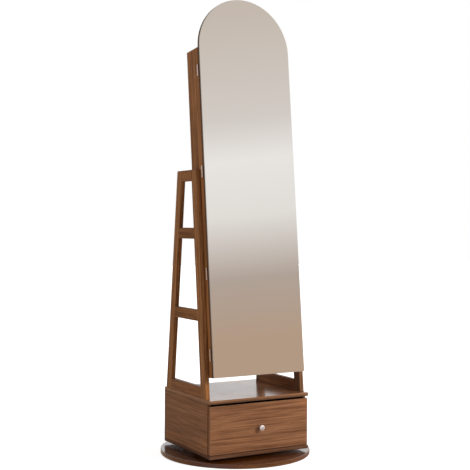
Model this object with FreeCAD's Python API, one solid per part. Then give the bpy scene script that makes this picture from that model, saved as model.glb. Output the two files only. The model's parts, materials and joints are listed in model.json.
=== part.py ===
import FreeCAD, Part
import math
import os
from FreeCAD import Placement, Rotation, Vector

# Rotating jewelry armoire: a leaning mirror cabinet held between two ladder side
# frames, on a drawer box that turns on a round base.
# Millimetres. +Z is up, the front faces -Y, and the origin is the centre of the
# base's underside.

os.makedirs("parts", exist_ok=True)

# Base disc and its pads
disc_diameter = 530.0
disc_thickness = 15.0
disc_edge_round = 2.5
pad_diameter = 30.0
pad_height = 2.0
pad_count = 6
pad_rim_inset = 12.0

# Turntable bearing
turntable_height = 9.0
plate_size = 220.0
plate_sheet = 1.5
plate_corner = 12.0
plate_hole_inset = 15.0
race_diameter = 160.0
race_width = 12.0
race_gap = 1.0
race_ball_count = 12
ball_sides = 8
hub_diameter = 130.0
hub_wall = 2.0
hub_lip = 4.0
hub_lip_sheet = 1.0
hub_play = 0.8
ball_clearance = 0.05
access_hole_diameter = 20.0

# Drawer box
box_width = 390.0
box_depth = 350.0
box_height = 196.0
board = 12.0
arris = 0.5
front_board = 15.0
front_top_gap = 8.0
front_bottom_gap = 2.0
front_side_gap = 2.5
front_setback = 2.0
front_back_gap = 1.5

# Drawer and its runners
drawer_length = 300.0
drawer_side_height = 110.0
drawer_floor_gap = 8.0
drawer_bottom_board = 3.0
drawer_bottom_rise = 10.0
groove_depth = 5.0
groove_clearance = 0.1
drawer_travel = 200.0
runner_length = 280.0
runner_space = 10.5
runner_height = 27.0
runner_sheet = 1.2
runner_lip = 1.3
slider_height = 17.0
slider_web_gap = 0.8
cage_sheet = 0.6
cage_gap = 0.2
cage_web_gap = 0.3
runner_setback = 1.0
runner_balls_in_row = 4

# Knob
knob_diameter = 20.0
knob_table_diameter = 10.0
knob_seat_diameter = 12.0
knob_depth = 12.0
knob_facets = 8
knob_girdle_low = 0.38
knob_girdle_high = 0.64
knob_drop = 3.0
collar_diameter = 14.0
collar_height = 3.0
collar_stem_diameter = 8.0
collar_stem_height = 5.0
knob_screw_diameter = 4.0
knob_screw_head_height = 2.2
knob_screw_grip = 5.0

# Side frames
lean = 6.0
frame_height = 775.0
frame_thickness = 15.0
frame_front_inset = 28.5
frame_back_inset = 14.5
member_width = 37.0
rail_height = 38.0
lower_rung_height = 259.0
upper_rung_height = 538.0

# Leaning cabinet
cabinet_height = 1130.0
cabinet_depth = 84.0
cabinet_board = 12.0
cabinet_back_board = 5.0
cabinet_back_inset = 1.0
cabinet_rise = 75.0
cabinet_lead = 34.0
spacer = 2.0
spacer_diameter = 18.0
bolt_heights = (90.0, 560.0)
bolt_diameter = 6.0
bolt_head_height = 2.5
bolt_leg_depth = 12.0

# Cabinet fittings
lining_board = 2.0
shelf_board = 10.0
shelf_front_inset = 18.0
lower_shelf_height = 170.0
upper_shelf_height = 330.0
shelf_rail_height = 22.0
shelf_rail_sheet = 3.0
cushion_width = 316.0
cushion_roll_height = 22.0
cushion_rolls = 7
cushion_depth = 26.0
cushion_roll_bulge = 9.0
necklace_rail_width = 300.0
necklace_rail_height = 34.0
necklace_rail_board = 8.0
necklace_rail_top_gap = 34.0
hook_count = 8
hook_spacing = 34.0
hook_sheet = 3.0
hook_width = 4.0
hook_reach = 10.0
hook_bend = 5.0
hook_tip = 6.0
bracelet_bar_height = 640.0
bracelet_bar_diameter = 16.0
bracelet_collar_diameter = 24.0
bracelet_collar_length = 6.0

# Door, mirror and hinges
door_board = 9.0
mirror_sheet = 3.0
mirror_bevel = 1.0
hinge_heights = (77.0, 349.0, 697.0, 1047.0)
hinge_length = 40.0
hinge_leaf = 1.0
hinge_leaf_gap = 0.2
hinge_knuckles = 3
knuckle_sides = 16
knuckle_radius = 3.0
knuckle_gap = 0.2
pin_radius = 1.5
pin_clearance = 0.03
door_leaf_width = 24.0
cabinet_leaf_width = 12.0
catch_height = 1000.0
catch_length = 40.0
catch_width = 14.0
catch_body_depth = 14.0
catch_slot_share = 0.4
catch_slot_depth = 1.0
catch_slot_end = 4.0
strike_sheet = 1.0
earring_bar_heights = (720.0, 820.0, 920.0)
earring_bar_width = 280.0
earring_bar_reach = 14.0
earring_bar_sheet = 2.5
earring_slots = 14
earring_slot_width = 2.5
earring_slot_depth = 7.0

# Screws: radii of shank and head, and lengths. Small hidden rounds have flat sides.
screw_sides = 8
bolt_sides = 12
collar_sides = 24
ring_sides = 36
carcase_screw_length = 45.0
carcase_screw_shank = 2.5
carcase_screw_head = 4.5
carcase_screw_inset = 40.0
back_screw_offset = 100.0
plate_screw_length = 11.0
plate_screw_shank = 2.0
plate_screw_head = 3.8
plate_screw_head_height = 1.8
bore_clearance = 0.05
head_crown = 0.7
head_rim = 0.4
tiny = 0.01

# Heights and faces worked out from the driving dimensions
disc_top = pad_height + disc_thickness
box_bottom = disc_top + turntable_height
box_top = box_bottom + box_height
half_width = box_width / 2
half_depth = box_depth / 2
frame_inner = half_width - frame_thickness
box_inner = half_width - board
side_front = -half_depth + front_setback + front_board + front_back_gap
back_front = half_depth - board

X = Vector(1, 0, 0)
Y = Vector(0, 1, 0)
Z = Vector(0, 0, 1)


def export(node, *solids):
    """Write one node: a single solid, or a group of separate solids."""
    shape = solids[0] if len(solids) == 1 else Part.makeCompound(list(solids))
    shape.exportStep("parts/%s.step" % node)


def block(x, y, z):
    """Box between the low and high value given for each axis."""
    size = (x[1] - x[0], y[1] - y[0], z[1] - z[0])
    return Part.makeBox(*size, Vector(x[0], y[0], z[0]))


def eased(solid, size=arris):
    """The solid with every arris chamfered a little, as sanded board is."""
    return solid.makeChamfer(size, solid.Edges)


def panel(x, y, z):
    """Board with eased arrises between the given low and high values."""
    return eased(block(x, y, z))


def rod(radius, start, end):
    """Round bar from one point to another."""
    run = end - start
    return Part.makeCylinder(radius, run.Length, start, run)


def turned(profile):
    """Solid turned about Z from (radius, height) corners."""
    corners = [Vector(radius, 0, height) for radius, height in profile]
    face = Part.Face(Part.makePolygon(corners + corners[:1]))
    return face.revolve(Vector(0, 0, 0), Z, 360)


def polyhedron(outlines):
    """Solid closed by flat faces, each given by its corner points."""
    faces = [Part.Face(Part.makePolygon(outline + outline[:1])) for outline in outlines]
    solid = Part.makeSolid(Part.makeShell(faces))
    if solid.Volume < 0:
        solid.reverse()
    return solid


def corner_ring(radius, height, sides, turn=0.0):
    """Corners of a regular outline about Z, turned by a share of one side."""
    angles = [2 * math.pi * (index + turn) / sides for index in range(sides)]
    return [Vector(radius * math.cos(angle), radius * math.sin(angle), height) for angle in angles]


def faceted(profile, sides=screw_sides):
    """Like turned, but with flat sides, for small hidden pieces and their holes."""
    bands = []
    for low, high in zip(profile, profile[1:]):
        if high[1] - low[1] > tiny:
            foot = corner_ring(*low, sides)
            head = corner_ring(*high, sides)
            walls = [[foot[i - 1], foot[i], head[i], head[i - 1]] for i in range(sides)]
            bands.append(polyhedron([foot, head] + walls))
    return fused(bands) if len(bands) > 1 else bands[0]


def ring(inner, outer, low, high):
    """Flat-sided ring about Z between two radii and two heights."""
    body = faceted([(outer, low), (outer, high)], ring_sides)
    return body.cut(faceted([(inner, low - 1), (inner, high + 1)], ring_sides))


def ball(radius, centre):
    """Bearing ball with flat facets, whose corners lie on the sphere."""
    rows = ball_sides // 2
    turns = [2 * math.pi * (row - (rows - 1) / 2) / ball_sides for row in range(rows)]
    rings = [(radius * math.cos(turn), radius * math.sin(turn)) for turn in turns]
    return placed(faceted(rings, ball_sides), centre)


def prism(corners, run):
    """Straight prism on a flat outline of corner points."""
    return Part.Face(Part.makePolygon(corners + corners[:1])).extrude(run)


def placed(solid, position, direction=Z):
    """Copy of a solid made about the origin, with its Z turned to a direction."""
    copy = solid.copy()
    copy.Placement = Placement(position, Rotation(Z, direction))
    return copy


def fused(solids):
    """One solid from solids that touch or overlap."""
    return solids[0].multiFuse(solids[1:]).removeSplitter()


def mirrored_pair(solid):
    """The solid and its mirror image on the other side of the middle plane."""
    return [solid, solid.mirror(Vector(0, 0, 0), X)]


def flat_head_screw(grow=0.0):
    """Carcase screw with its flush head at the origin, running along +Z."""
    shank = carcase_screw_shank + grow
    head = carcase_screw_head + grow
    length = carcase_screw_length + grow
    return faceted([(head, 0), (shank, head - shank), (shank, length)])


def plate_screw():
    """Turntable screw with its pan head behind the origin, running along +Z."""
    head = plate_screw_head
    height = plate_screw_head_height
    shank = plate_screw_shank
    length = plate_screw_length + plate_sheet
    return faceted([(head * head_crown, -height), (head, 0), (shank, 0), (shank, length)])


def plate_screw_bore():
    """Pilot hole for one turntable screw, from the origin along +Z."""
    depth = plate_screw_length + plate_sheet + bore_clearance
    return faceted([(plate_screw_shank + bore_clearance, 0), (plate_screw_shank + bore_clearance, depth)])


plate_hole = plate_size / 2 - plate_hole_inset
plate_hole_places = [(x, y) for x in (-plate_hole, plate_hole) for y in (-plate_hole, plate_hole)]
race_radius = race_diameter / 2
race_ball_radius = (turntable_height - 2 * plate_sheet) / 2
lower_plate_top = disc_top + plate_sheet
upper_plate_bottom = box_bottom - plate_sheet
race_middle = (lower_plate_top + upper_plate_bottom) / 2
hub_radius = hub_diameter / 2


def plate_blank(low):
    """Square sheet of one turntable plate, with its four screw holes."""
    half = plate_size / 2
    sheet = block((-half, half), (-half, half), (low, low + plate_sheet))
    upright = [edge for edge in sheet.Edges if edge.BoundBox.ZLength > plate_sheet / 2]
    sheet = sheet.makeFillet(plate_corner, upright)
    return sheet.cut([placed(plate_screw_bore(), Vector(x, y, low)) for x, y in plate_hole_places])


def race_ring(low, high):
    """Ring between two heights that carries half of the ball groove."""
    return ring(race_radius - race_width / 2, race_radius + race_width / 2, low, high)


def ball_groove():
    """Channel of two flat-bottomed V grooves in which the balls run, cut into both plates."""
    reach = race_ball_radius + ball_clearance
    flat = reach * (math.sqrt(2) - 1)
    mouth = reach * math.sqrt(2)
    low = race_middle - reach
    high = race_middle + reach
    return turned([(race_radius - mouth, race_middle), (race_radius - flat, low),
                   (race_radius + flat, low), (race_radius + mouth, race_middle),
                   (race_radius + flat, high), (race_radius - flat, high)])


def make_base():
    """Round base disc with its pads."""
    radius = disc_diameter / 2
    ease = disc_edge_round
    disc = turned([(0, pad_height), (radius - arris, pad_height), (radius, pad_height + arris),
                   (radius, disc_top - ease), (radius - ease / 3, disc_top - ease / 3),
                   (radius - ease, disc_top), (0, disc_top)])
    bores = [placed(plate_screw_bore(), Vector(x, y, lower_plate_top), -Z) for x, y in plate_hole_places]
    reach = plate_hole * math.sqrt(2)
    bores.append(rod(access_hole_diameter / 2, Vector(reach, 0, 0), Vector(reach, 0, disc_top)))
    export("base_disc", disc.cut(bores))

    pad_radius = pad_diameter / 2
    circle = radius - pad_rim_inset - pad_radius
    pads = []
    for index in range(pad_count):
        angle = 2 * math.pi * (index + 0.5) / pad_count
        foot = Vector(circle * math.cos(angle), circle * math.sin(angle), 0)
        pads.append(placed(faceted([(pad_radius, 0), (pad_radius, pad_height)], collar_sides), foot))
    export("foot_pads", *pads)


def make_turntable():
    """Two pressed plates that lock into each other round a ring of balls."""
    wall_inner = hub_radius - hub_wall
    lip_top = upper_plate_bottom - race_gap / 2
    lip_bottom = lip_top - hub_lip_sheet
    flange_top = lip_bottom - hub_play
    flange_bottom = flange_top - hub_lip_sheet
    flange_outer = race_radius - race_width / 2
    flange_wall = flange_outer - hub_wall
    lip_outer = hub_radius + hub_lip

    groove = ball_groove()
    hub = ring(wall_inner, hub_radius, disc_top, lip_top)
    lip = ring(wall_inner, lip_outer, lip_bottom, lip_top)
    opening = faceted([(wall_inner, disc_top), (wall_inner, box_bottom)], ring_sides)
    lower_race = race_ring(disc_top, race_middle - race_gap / 2)
    lower = plate_blank(disc_top).cut(opening)
    export("turntable_lower_plate", fused([lower, lower_race, hub, lip]).cut(groove))

    wall = ring(flange_wall, flange_outer, flange_bottom, box_bottom)
    flange = ring(hub_radius + race_gap, flange_outer, flange_bottom, flange_top)
    upper_race = race_ring(race_middle + race_gap / 2, box_bottom)
    upper = plate_blank(upper_plate_bottom).cut(opening)
    export("turntable_upper_plate", fused([upper, upper_race, wall, flange]).cut(groove))

    balls = []
    for index in range(race_ball_count):
        angle = 2 * math.pi * index / race_ball_count
        centre = Vector(race_radius * math.cos(angle), race_radius * math.sin(angle), race_middle)
        balls.append(ball(race_ball_radius, centre))
    export("turntable_balls", *balls)

    screw = plate_screw()
    down = [placed(screw, Vector(x, y, lower_plate_top), -Z) for x, y in plate_hole_places]
    export("turntable_base_screws", *down)
    up = [placed(screw, Vector(x, y, upper_plate_bottom), Z) for x, y in plate_hole_places]
    export("turntable_box_screws", *up)


slope = math.tan(math.radians(lean))
frame_front = -half_depth + frame_front_inset
frame_back = half_depth - frame_back_inset
leg_run = member_width / math.cos(math.radians(lean))


def front_edge(height):
    """Y of the front legs' front edge at a height above the box."""
    return frame_front + height * slope


def back_edge(height):
    """Y of the back legs' rear edge at a height above the box."""
    return frame_back - height * slope


def carcase_screw_places():
    """Heads of the screws that run up into the box sides, the box back and the side frames."""
    side_middle = half_width - board / 2
    frame_middle = half_width - frame_thickness / 2
    places = []
    for sign in (-1, 1):
        for y in (side_front + carcase_screw_inset, back_front - carcase_screw_inset):
            places.append(Vector(sign * side_middle, y, box_bottom))
        places.append(Vector(sign * back_screw_offset, half_depth - board / 2, box_bottom))
        for y in (front_edge(0) + leg_run / 2, (frame_front + frame_back) / 2, back_edge(0) - leg_run / 2):
            places.append(Vector(sign * frame_middle, y, box_top - board))
    return places


carcase_bores = [placed(flat_head_screw(bore_clearance), place) for place in carcase_screw_places()]


def make_box():
    """Drawer box: bottom and top boards, two sides and an overlaid back."""
    full_x = (-half_width, half_width)
    full_y = (-half_depth, half_depth)
    floor = box_bottom + board
    ceiling = box_top - board
    plate_bores = [placed(plate_screw_bore(), Vector(x, y, box_bottom)) for x, y in plate_hole_places]
    bottom = panel(full_x, full_y, (box_bottom, floor))
    export("bottom_board", bottom.cut(carcase_bores + plate_bores))
    export("top_board", panel(full_x, full_y, (ceiling, box_top)).cut(carcase_bores))
    side = panel((box_inner, half_width), (side_front, back_front), (floor, ceiling)).cut(carcase_bores)
    right, left = mirrored_pair(side)
    export("box_side_right", right)
    export("box_side_left", left)
    export("box_back", panel(full_x, (back_front, half_depth), (floor, ceiling)).cut(carcase_bores))
    export("carcase_screws", *[placed(flat_head_screw(), place) for place in carcase_screw_places()])


floor_top = box_bottom + board
drawer_low = floor_top + drawer_floor_gap
drawer_high = drawer_low + drawer_side_height
drawer_outer = box_inner - runner_space
drawer_inner = drawer_outer - board
drawer_front_face = -half_depth + front_setback
drawer_front_rear = drawer_front_face + front_board
drawer_rear = drawer_front_rear + drawer_length
drawer_bottom_low = drawer_low + drawer_bottom_rise
drawer_bottom_high = drawer_bottom_low + drawer_bottom_board
front_low = floor_top + front_bottom_gap
front_high = box_top - board - front_top_gap
knob_height = (front_low + front_high) / 2 - knob_drop


def drawer_groove():
    """Groove round the drawer that holds its thin bottom."""
    reach = drawer_inner + groove_depth
    low = drawer_bottom_low - groove_clearance
    high = drawer_bottom_high + groove_clearance
    return block((-reach, reach), (drawer_front_rear - groove_depth, drawer_rear), (low, high))


def make_drawer():
    """Overlay drawer front, two sides, back and the bottom in its groove."""
    groove = drawer_groove()
    screw_hole = rod(knob_screw_diameter / 2 + bore_clearance, Vector(0, drawer_front_face, knob_height),
                     Vector(0, drawer_front_rear, knob_height))
    front_half = half_width - front_side_gap
    thickness = (drawer_front_face, drawer_front_rear)
    front = panel((-front_half, front_half), thickness, (front_low, front_high))
    export("drawer_front", front.cut([groove, screw_hole]))
    side = panel((drawer_inner, drawer_outer), (drawer_front_rear, drawer_rear), (drawer_low, drawer_high))
    right, left = mirrored_pair(side.cut(groove))
    export("drawer_side_right", right)
    export("drawer_side_left", left)
    back_low = drawer_bottom_high + groove_clearance
    export("drawer_back", panel((-drawer_inner, drawer_inner), (drawer_rear - board, drawer_rear),
                                (back_low, drawer_high)))
    reach = drawer_inner + groove_depth - groove_clearance
    front_reach = drawer_front_rear - groove_depth + groove_clearance
    export("drawer_bottom", block((-reach, reach), (front_reach, drawer_rear),
                                  (drawer_bottom_low, drawer_bottom_high)))


def make_knob():
    """Cut knob on a stemmed collar, held by a screw from inside the drawer front."""
    stem_top = collar_height + collar_stem_height
    girdle = knob_diameter / 2
    low = stem_top + knob_depth * knob_girdle_low
    high = stem_top + knob_depth * knob_girdle_high
    seat = corner_ring(knob_seat_diameter / 2, stem_top, knob_facets, 0.5)
    girdle_low = corner_ring(girdle, low, knob_facets, 0.5)
    girdle_high = corner_ring(girdle, high, knob_facets, 0.5)
    table = corner_ring(knob_table_diameter / 2, stem_top + knob_depth, knob_facets)
    outlines = [seat, table]
    for index in range(knob_facets):
        after = (index + 1) % knob_facets
        outlines.append([seat[index], seat[after], girdle_low[after], girdle_low[index]])
        outlines.append([girdle_low[index], girdle_low[after], girdle_high[after], girdle_high[index]])
        outlines.append([girdle_high[index], girdle_high[after], table[after]])
        outlines.append([girdle_high[index], table[after], table[index]])
    crystal = polyhedron(outlines)
    stem = collar_stem_diameter / 2
    flange = collar_diameter / 2
    collar = faceted([(flange, 0), (flange, collar_height / 2), (stem, collar_height),
                      (stem, stem_top)], collar_sides)
    shank = knob_screw_diameter / 2
    head = knob_screw_diameter
    head_height = knob_screw_head_height
    grip = front_board + stem_top + knob_screw_grip
    screw = faceted([(head * head_crown, -head_height), (head, -head_height * head_rim), (head, 0),
                     (shank, 0), (shank, grip)], bolt_sides)
    hole = shank + bore_clearance
    screw_bore = faceted([(hole, 0), (hole, stem_top + knob_screw_grip + bore_clearance)], bolt_sides)
    seat_point = Vector(0, drawer_front_face, knob_height)
    export("knob_crystal", placed(crystal.cut(screw_bore), seat_point, -Y))
    export("knob_collar", placed(collar.cut(screw_bore), seat_point, -Y))
    export("knob_screw", placed(screw, Vector(0, drawer_front_rear, knob_height), -Y))


runner_front = side_front + runner_setback
runner_middle = (drawer_low + drawer_high) / 2
runner_half = runner_height / 2
slider_half = slider_height / 2
channel_reach = runner_space - runner_sheet - slider_web_gap
slider_start = runner_sheet + cage_web_gap + cage_gap + cage_sheet + cage_gap
ball_row = (runner_half - runner_sheet + slider_half) / 2
runner_ball_radius = (runner_half - runner_sheet - slider_half) / 2 - ball_clearance
ball_offset = (slider_start + channel_reach - runner_sheet) / 2


def runner_profile(points, start, length):
    """Rolled runner section, points given as (distance from the box side, height)."""
    corners = [Vector(box_inner - away, start, runner_middle + height) for away, height in points]
    return prism(corners, Vector(0, length, 0))


def section_both_ways(upper):
    """Closed section outline from its upper half, mirrored below."""
    return upper + [(away, -height) for away, height in reversed(upper)]


def make_runners():
    """Ball runners: channel on the box, slider on the drawer, cage and balls between."""
    sheet = runner_sheet
    top = runner_half
    reach = channel_reach
    channel = section_both_ways([(0, top), (reach, top), (reach, top - sheet - runner_lip),
                                 (reach - sheet, top - sheet - runner_lip), (reach - sheet, top - sheet),
                                 (sheet, top - sheet)])
    export("runner_channels", *mirrored_pair(runner_profile(channel, runner_front, runner_length)))
    rise = slider_half
    slider = section_both_ways([(runner_space, rise), (slider_start, rise), (slider_start, rise - sheet),
                                (runner_space - sheet, rise - sheet)])
    export("runner_sliders", *mirrored_pair(runner_profile(slider, runner_front, runner_length)))

    cage_length = runner_length - drawer_travel
    cage_start = runner_front + drawer_travel / 2
    web = sheet + cage_gap + cage_web_gap
    cage_reach = reach - sheet - cage_gap
    cage = section_both_ways([(web, ball_row + cage_sheet / 2), (cage_reach, ball_row + cage_sheet / 2),
                              (cage_reach, ball_row - cage_sheet / 2),
                              (web + cage_sheet, ball_row - cage_sheet / 2)])
    strip = runner_profile(cage, cage_start, cage_length)
    balls = []
    pockets = []
    for index in range(runner_balls_in_row):
        y = cage_start + cage_length * (index + 0.5) / runner_balls_in_row
        for side in (-1, 1):
            centre = Vector(box_inner - ball_offset, y, runner_middle + side * ball_row)
            balls.append(ball(runner_ball_radius, centre))
            half = runner_ball_radius + ball_clearance
            pockets.append(block((centre.x - half, centre.x + half), (y - half, y + half),
                                 (centre.z - cage_sheet, centre.z + cage_sheet)))
    export("runner_cages", *mirrored_pair(strip.cut(pockets)))
    left_balls = [right.mirror(Vector(0, 0, 0), X) for right in balls]
    export("runner_balls", *(balls + left_balls))


# The cabinet and its door are laid out upright: X across, Y the depth behind the
# mirror's face, Z the height above the door's lower edge. This placement leans them.
mirror_foot_y = frame_front - (cabinet_lead / math.cos(math.radians(lean)) - cabinet_rise * slope)
leaning = Placement(Vector(0, mirror_foot_y, box_top + cabinet_rise), Rotation(X, -lean))


def leaned(solid):
    """Copy of an upright cabinet piece in its leaning place."""
    copy = solid.copy()
    copy.Placement = leaning.multiply(copy.Placement)
    return copy


cabinet_half = frame_inner - spacer
cabinet_inner = cabinet_half - cabinet_board
door_half = frame_inner
door_back = door_board + mirror_sheet
cabinet_front = door_back + 2 * hinge_leaf + hinge_leaf_gap
cabinet_rear = cabinet_front + cabinet_depth
back_face = cabinet_rear - cabinet_back_board
lining_face = back_face - lining_board
bolt_depth = cabinet_lead + member_width / 2


def bolt_places():
    """Points on the right side's inner face where the bolts leave the cabinet."""
    return [Vector(cabinet_inner, bolt_depth, height) for height in bolt_heights]


def bolt_bores():
    """Holes of the bolts through the cabinet's sides and into the front legs."""
    reach = cabinet_board + spacer + bolt_leg_depth + bore_clearance
    bores = []
    for place in bolt_places():
        radius = bolt_diameter / 2 + bore_clearance
        bore = faceted([(radius, 0), (radius, reach)], bolt_sides)
        bores += mirrored_pair(placed(bore, place, X))
    return bores


def make_side_frames():
    """Two trapezoid side frames, each of two legs, a top rail, two rungs and a foot rail."""
    bores = carcase_bores + [leaned(bore) for bore in bolt_bores()]

    def member(outline):
        corners = [Vector(frame_inner, y, box_top + height) for y, height in outline]
        return eased(prism(corners, X * frame_thickness)).cut(bores)

    def leg(edge, width):
        return member([(edge(0), 0), (edge(0) + width, 0), (edge(frame_height) + width, frame_height),
                       (edge(frame_height), frame_height)])

    def rail(low):
        high = low + rail_height
        return member([(front_edge(low) + leg_run, low), (back_edge(low) - leg_run, low),
                       (back_edge(high) - leg_run, high), (front_edge(high) + leg_run, high)])

    members = {
        "front_leg": leg(front_edge, leg_run),
        "back_leg": leg(back_edge, -leg_run),
        "top_rail": rail(frame_height - rail_height),
        "upper_rung": rail(upper_rung_height),
        "lower_rung": rail(lower_rung_height),
        "foot_rail": rail(0.0),
    }
    for name, solid in members.items():
        right, left = mirrored_pair(solid)
        export(name + "_right", right)
        export(name + "_left", left)


def make_cabinet():
    """Shallow cabinet: sides rebated for the back, top, bottom and back panel."""
    depth = (cabinet_front, cabinet_rear)
    rebate_half = cabinet_half - cabinet_board / 2
    rebate = block((-rebate_half, rebate_half), (back_face, cabinet_rear + 1), (-1, cabinet_height + 1))
    side = panel((cabinet_inner, cabinet_half), depth, (0, cabinet_height)).cut([rebate] + bolt_bores())
    right, left = mirrored_pair(side)
    export("cabinet_side_right", leaned(right))
    export("cabinet_side_left", leaned(left))
    inner = (-cabinet_inner, cabinet_inner)
    short = (cabinet_front, back_face)
    export("cabinet_bottom", leaned(panel(inner, short, (0, cabinet_board))))
    export("cabinet_top", leaned(panel(inner, short, (cabinet_height - cabinet_board, cabinet_height))))
    back = panel((-rebate_half, rebate_half), (back_face, cabinet_rear),
                 (cabinet_back_inset, cabinet_height - cabinet_back_inset))
    export("cabinet_back", leaned(back))
    lining = block(inner, (lining_face, back_face), (cabinet_board, cabinet_height - cabinet_board))
    export("back_lining", leaned(lining))


def make_cabinet_bolts():
    """Bolts from inside the cabinet into the front legs, and the spacers between."""
    shank = bolt_diameter / 2
    grip = cabinet_board + spacer + bolt_leg_depth
    bolt = faceted([(shank * 2, -bolt_head_height), (shank * 2, 0), (shank, 0), (shank, grip)], bolt_sides)
    hole = faceted([(shank + bore_clearance, 0), (shank + bore_clearance, spacer)], bolt_sides)
    washer = faceted([(spacer_diameter / 2, 0), (spacer_diameter / 2, spacer)], bolt_sides).cut(hole)
    bolts = []
    spacers = []
    for place in bolt_places():
        bolts += mirrored_pair(placed(bolt, place, X))
        spacers += mirrored_pair(placed(washer, place + X * cabinet_board, X))
    export("cabinet_bolts", *[leaned(bolt) for bolt in bolts])
    export("cabinet_spacers", *[leaned(ring) for ring in spacers])


def make_shelves():
    """Two shelves with a low rail along each front edge."""
    inner = (-cabinet_inner, cabinet_inner)
    depth = (cabinet_front + shelf_front_inset, lining_face)
    rails = []
    for name, height in (("shelf_lower", lower_shelf_height), ("shelf_upper", upper_shelf_height)):
        export(name, leaned(panel(inner, depth, (height, height + shelf_board))))
        front = depth[0]
        rail = panel(inner, (front - shelf_rail_sheet, front), (height, height + shelf_rail_height))
        rails.append(leaned(rail))
    export("shelf_rails", *rails)


def make_ring_cushion():
    """Foam cushion of stacked rolls, flat at its back, that holds rings between the rolls."""
    foot = upper_shelf_height + shelf_board
    start = -cushion_width / 2
    valley = lining_face - cushion_depth + cushion_roll_bulge
    crest = lining_face - cushion_depth
    edges = []
    for index in range(cushion_rolls):
        low = foot + index * cushion_roll_height
        high = low + cushion_roll_height
        edges.append(Part.Arc(Vector(start, valley, low), Vector(start, crest, (low + high) / 2),
                              Vector(start, valley, high)).toShape())
    top = foot + cushion_rolls * cushion_roll_height
    corners = [Vector(start, valley, top), Vector(start, lining_face, top),
               Vector(start, lining_face, foot), Vector(start, valley, foot)]
    for first, second in zip(corners, corners[1:]):
        edges.append(Part.LineSegment(first, second).toShape())
    export("ring_cushion", leaned(Part.Face(Part.Wire(edges)).extrude(X * cushion_width)))


def make_necklace_rail():
    """Rail across the top of the cabinet with a row of up-turned hooks."""
    top = cabinet_height - cabinet_board - necklace_rail_top_gap
    low = top - necklace_rail_height
    face = lining_face - necklace_rail_board
    half = necklace_rail_width / 2
    export("necklace_rail", leaned(panel((-half, half), (face, lining_face), (low, top))))

    bend_y = face - hook_reach
    bend_z = (top + low) / 2 + hook_bend

    def quarter(radius, x):
        half = radius * math.sqrt(0.5)
        return Part.Arc(Vector(x, bend_y, bend_z - radius), Vector(x, bend_y - half, bend_z - half),
                        Vector(x, bend_y - radius, bend_z)).toShape()

    hooks = []
    inner = hook_bend - hook_sheet
    for index in range(hook_count):
        x = (index - (hook_count - 1) / 2) * hook_spacing - hook_width / 2
        under = [Vector(x, face, bend_z - hook_bend), Vector(x, bend_y, bend_z - hook_bend)]
        tip = [Vector(x, bend_y - hook_bend, bend_z), Vector(x, bend_y - hook_bend, bend_z + hook_tip),
               Vector(x, bend_y - inner, bend_z + hook_tip), Vector(x, bend_y - inner, bend_z)]
        over = [Vector(x, bend_y, bend_z - inner), Vector(x, face, bend_z - inner), under[0]]
        runs = [pair for points in (under, tip, over) for pair in zip(points, points[1:])]
        edges = [Part.LineSegment(*run).toShape() for run in runs]
        edges += [quarter(hook_bend, x), quarter(inner, x)]
        outline = Part.Wire(Part.sortEdges(edges)[0])
        hooks.append(leaned(Part.Face(outline).extrude(X * hook_width)))
    export("necklace_hooks", *hooks)


def make_bracelet_bar():
    """Round bar across the cabinet, with a collar against each side."""
    length = 2 * cabinet_inner
    bar = bracelet_bar_diameter / 2
    collar = bracelet_collar_diameter / 2
    run = bracelet_collar_length
    profile = turned([(0, 0), (collar, 0), (collar, run), (bar, run), (bar, length - run),
                      (collar, length - run), (collar, length), (0, length)])
    place = Vector(-cabinet_inner, (cabinet_front + lining_face) / 2, bracelet_bar_height)
    export("bracelet_bar", leaned(placed(profile, place, X)))


def arched_sheet(near, far):
    """Door outline, straight to the cabinet's top and then a half circle, between two depths."""
    half = door_half
    spring = cabinet_height
    corners = [Vector(-half, near, spring), Vector(-half, near, 0), Vector(half, near, 0),
               Vector(half, near, spring)]
    edges = [Part.LineSegment(first, second).toShape() for first, second in zip(corners, corners[1:])]
    edges.append(Part.Arc(corners[3], Vector(0, near, spring + half), corners[0]).toShape())
    return Part.Face(Part.Wire(edges)).extrude(Y * (far - near))


def make_door():
    """Arched door board with the frameless mirror on its face."""
    export("door_board", leaned(eased(arched_sheet(mirror_sheet, door_back))))
    glass = arched_sheet(0.0, mirror_sheet)
    front_edges = [edge for edge in glass.Edges if edge.BoundBox.YMax < tiny]
    export("mirror_glass", leaned(glass.makeChamfer(mirror_bevel, front_edges)))


hinge_x = -door_half - knuckle_gap - knuckle_radius
hinge_depth = door_back + hinge_leaf + hinge_leaf_gap / 2


def hinge_half(low, own_knuckles, leaf_near, leaf_end):
    """Leaf and knuckles of one hinge half: a plate that wraps the pin at its own knuckles."""
    step = hinge_length / hinge_knuckles
    plate_start = hinge_x + knuckle_radius + knuckle_gap
    depth = (leaf_near, leaf_near + hinge_leaf)
    pieces = [block((plate_start, leaf_end), depth, (low, low + hinge_length))]
    knuckle = faceted([(knuckle_radius, 0), (knuckle_radius, step - knuckle_gap)], knuckle_sides)
    for index in own_knuckles:
        start = low + index * step + knuckle_gap / 2
        end = start + step - knuckle_gap
        pieces.append(placed(knuckle, Vector(hinge_x, hinge_depth, start)))
        pieces.append(block((hinge_x, plate_start + hinge_leaf), depth, (start, end)))
    play = (pin_radius + pin_clearance) / math.cos(math.pi / knuckle_sides)
    bore = faceted([(play, 0), (play, hinge_length)], knuckle_sides)
    return fused(pieces).cut(placed(bore, Vector(hinge_x, hinge_depth, low)))


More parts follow.
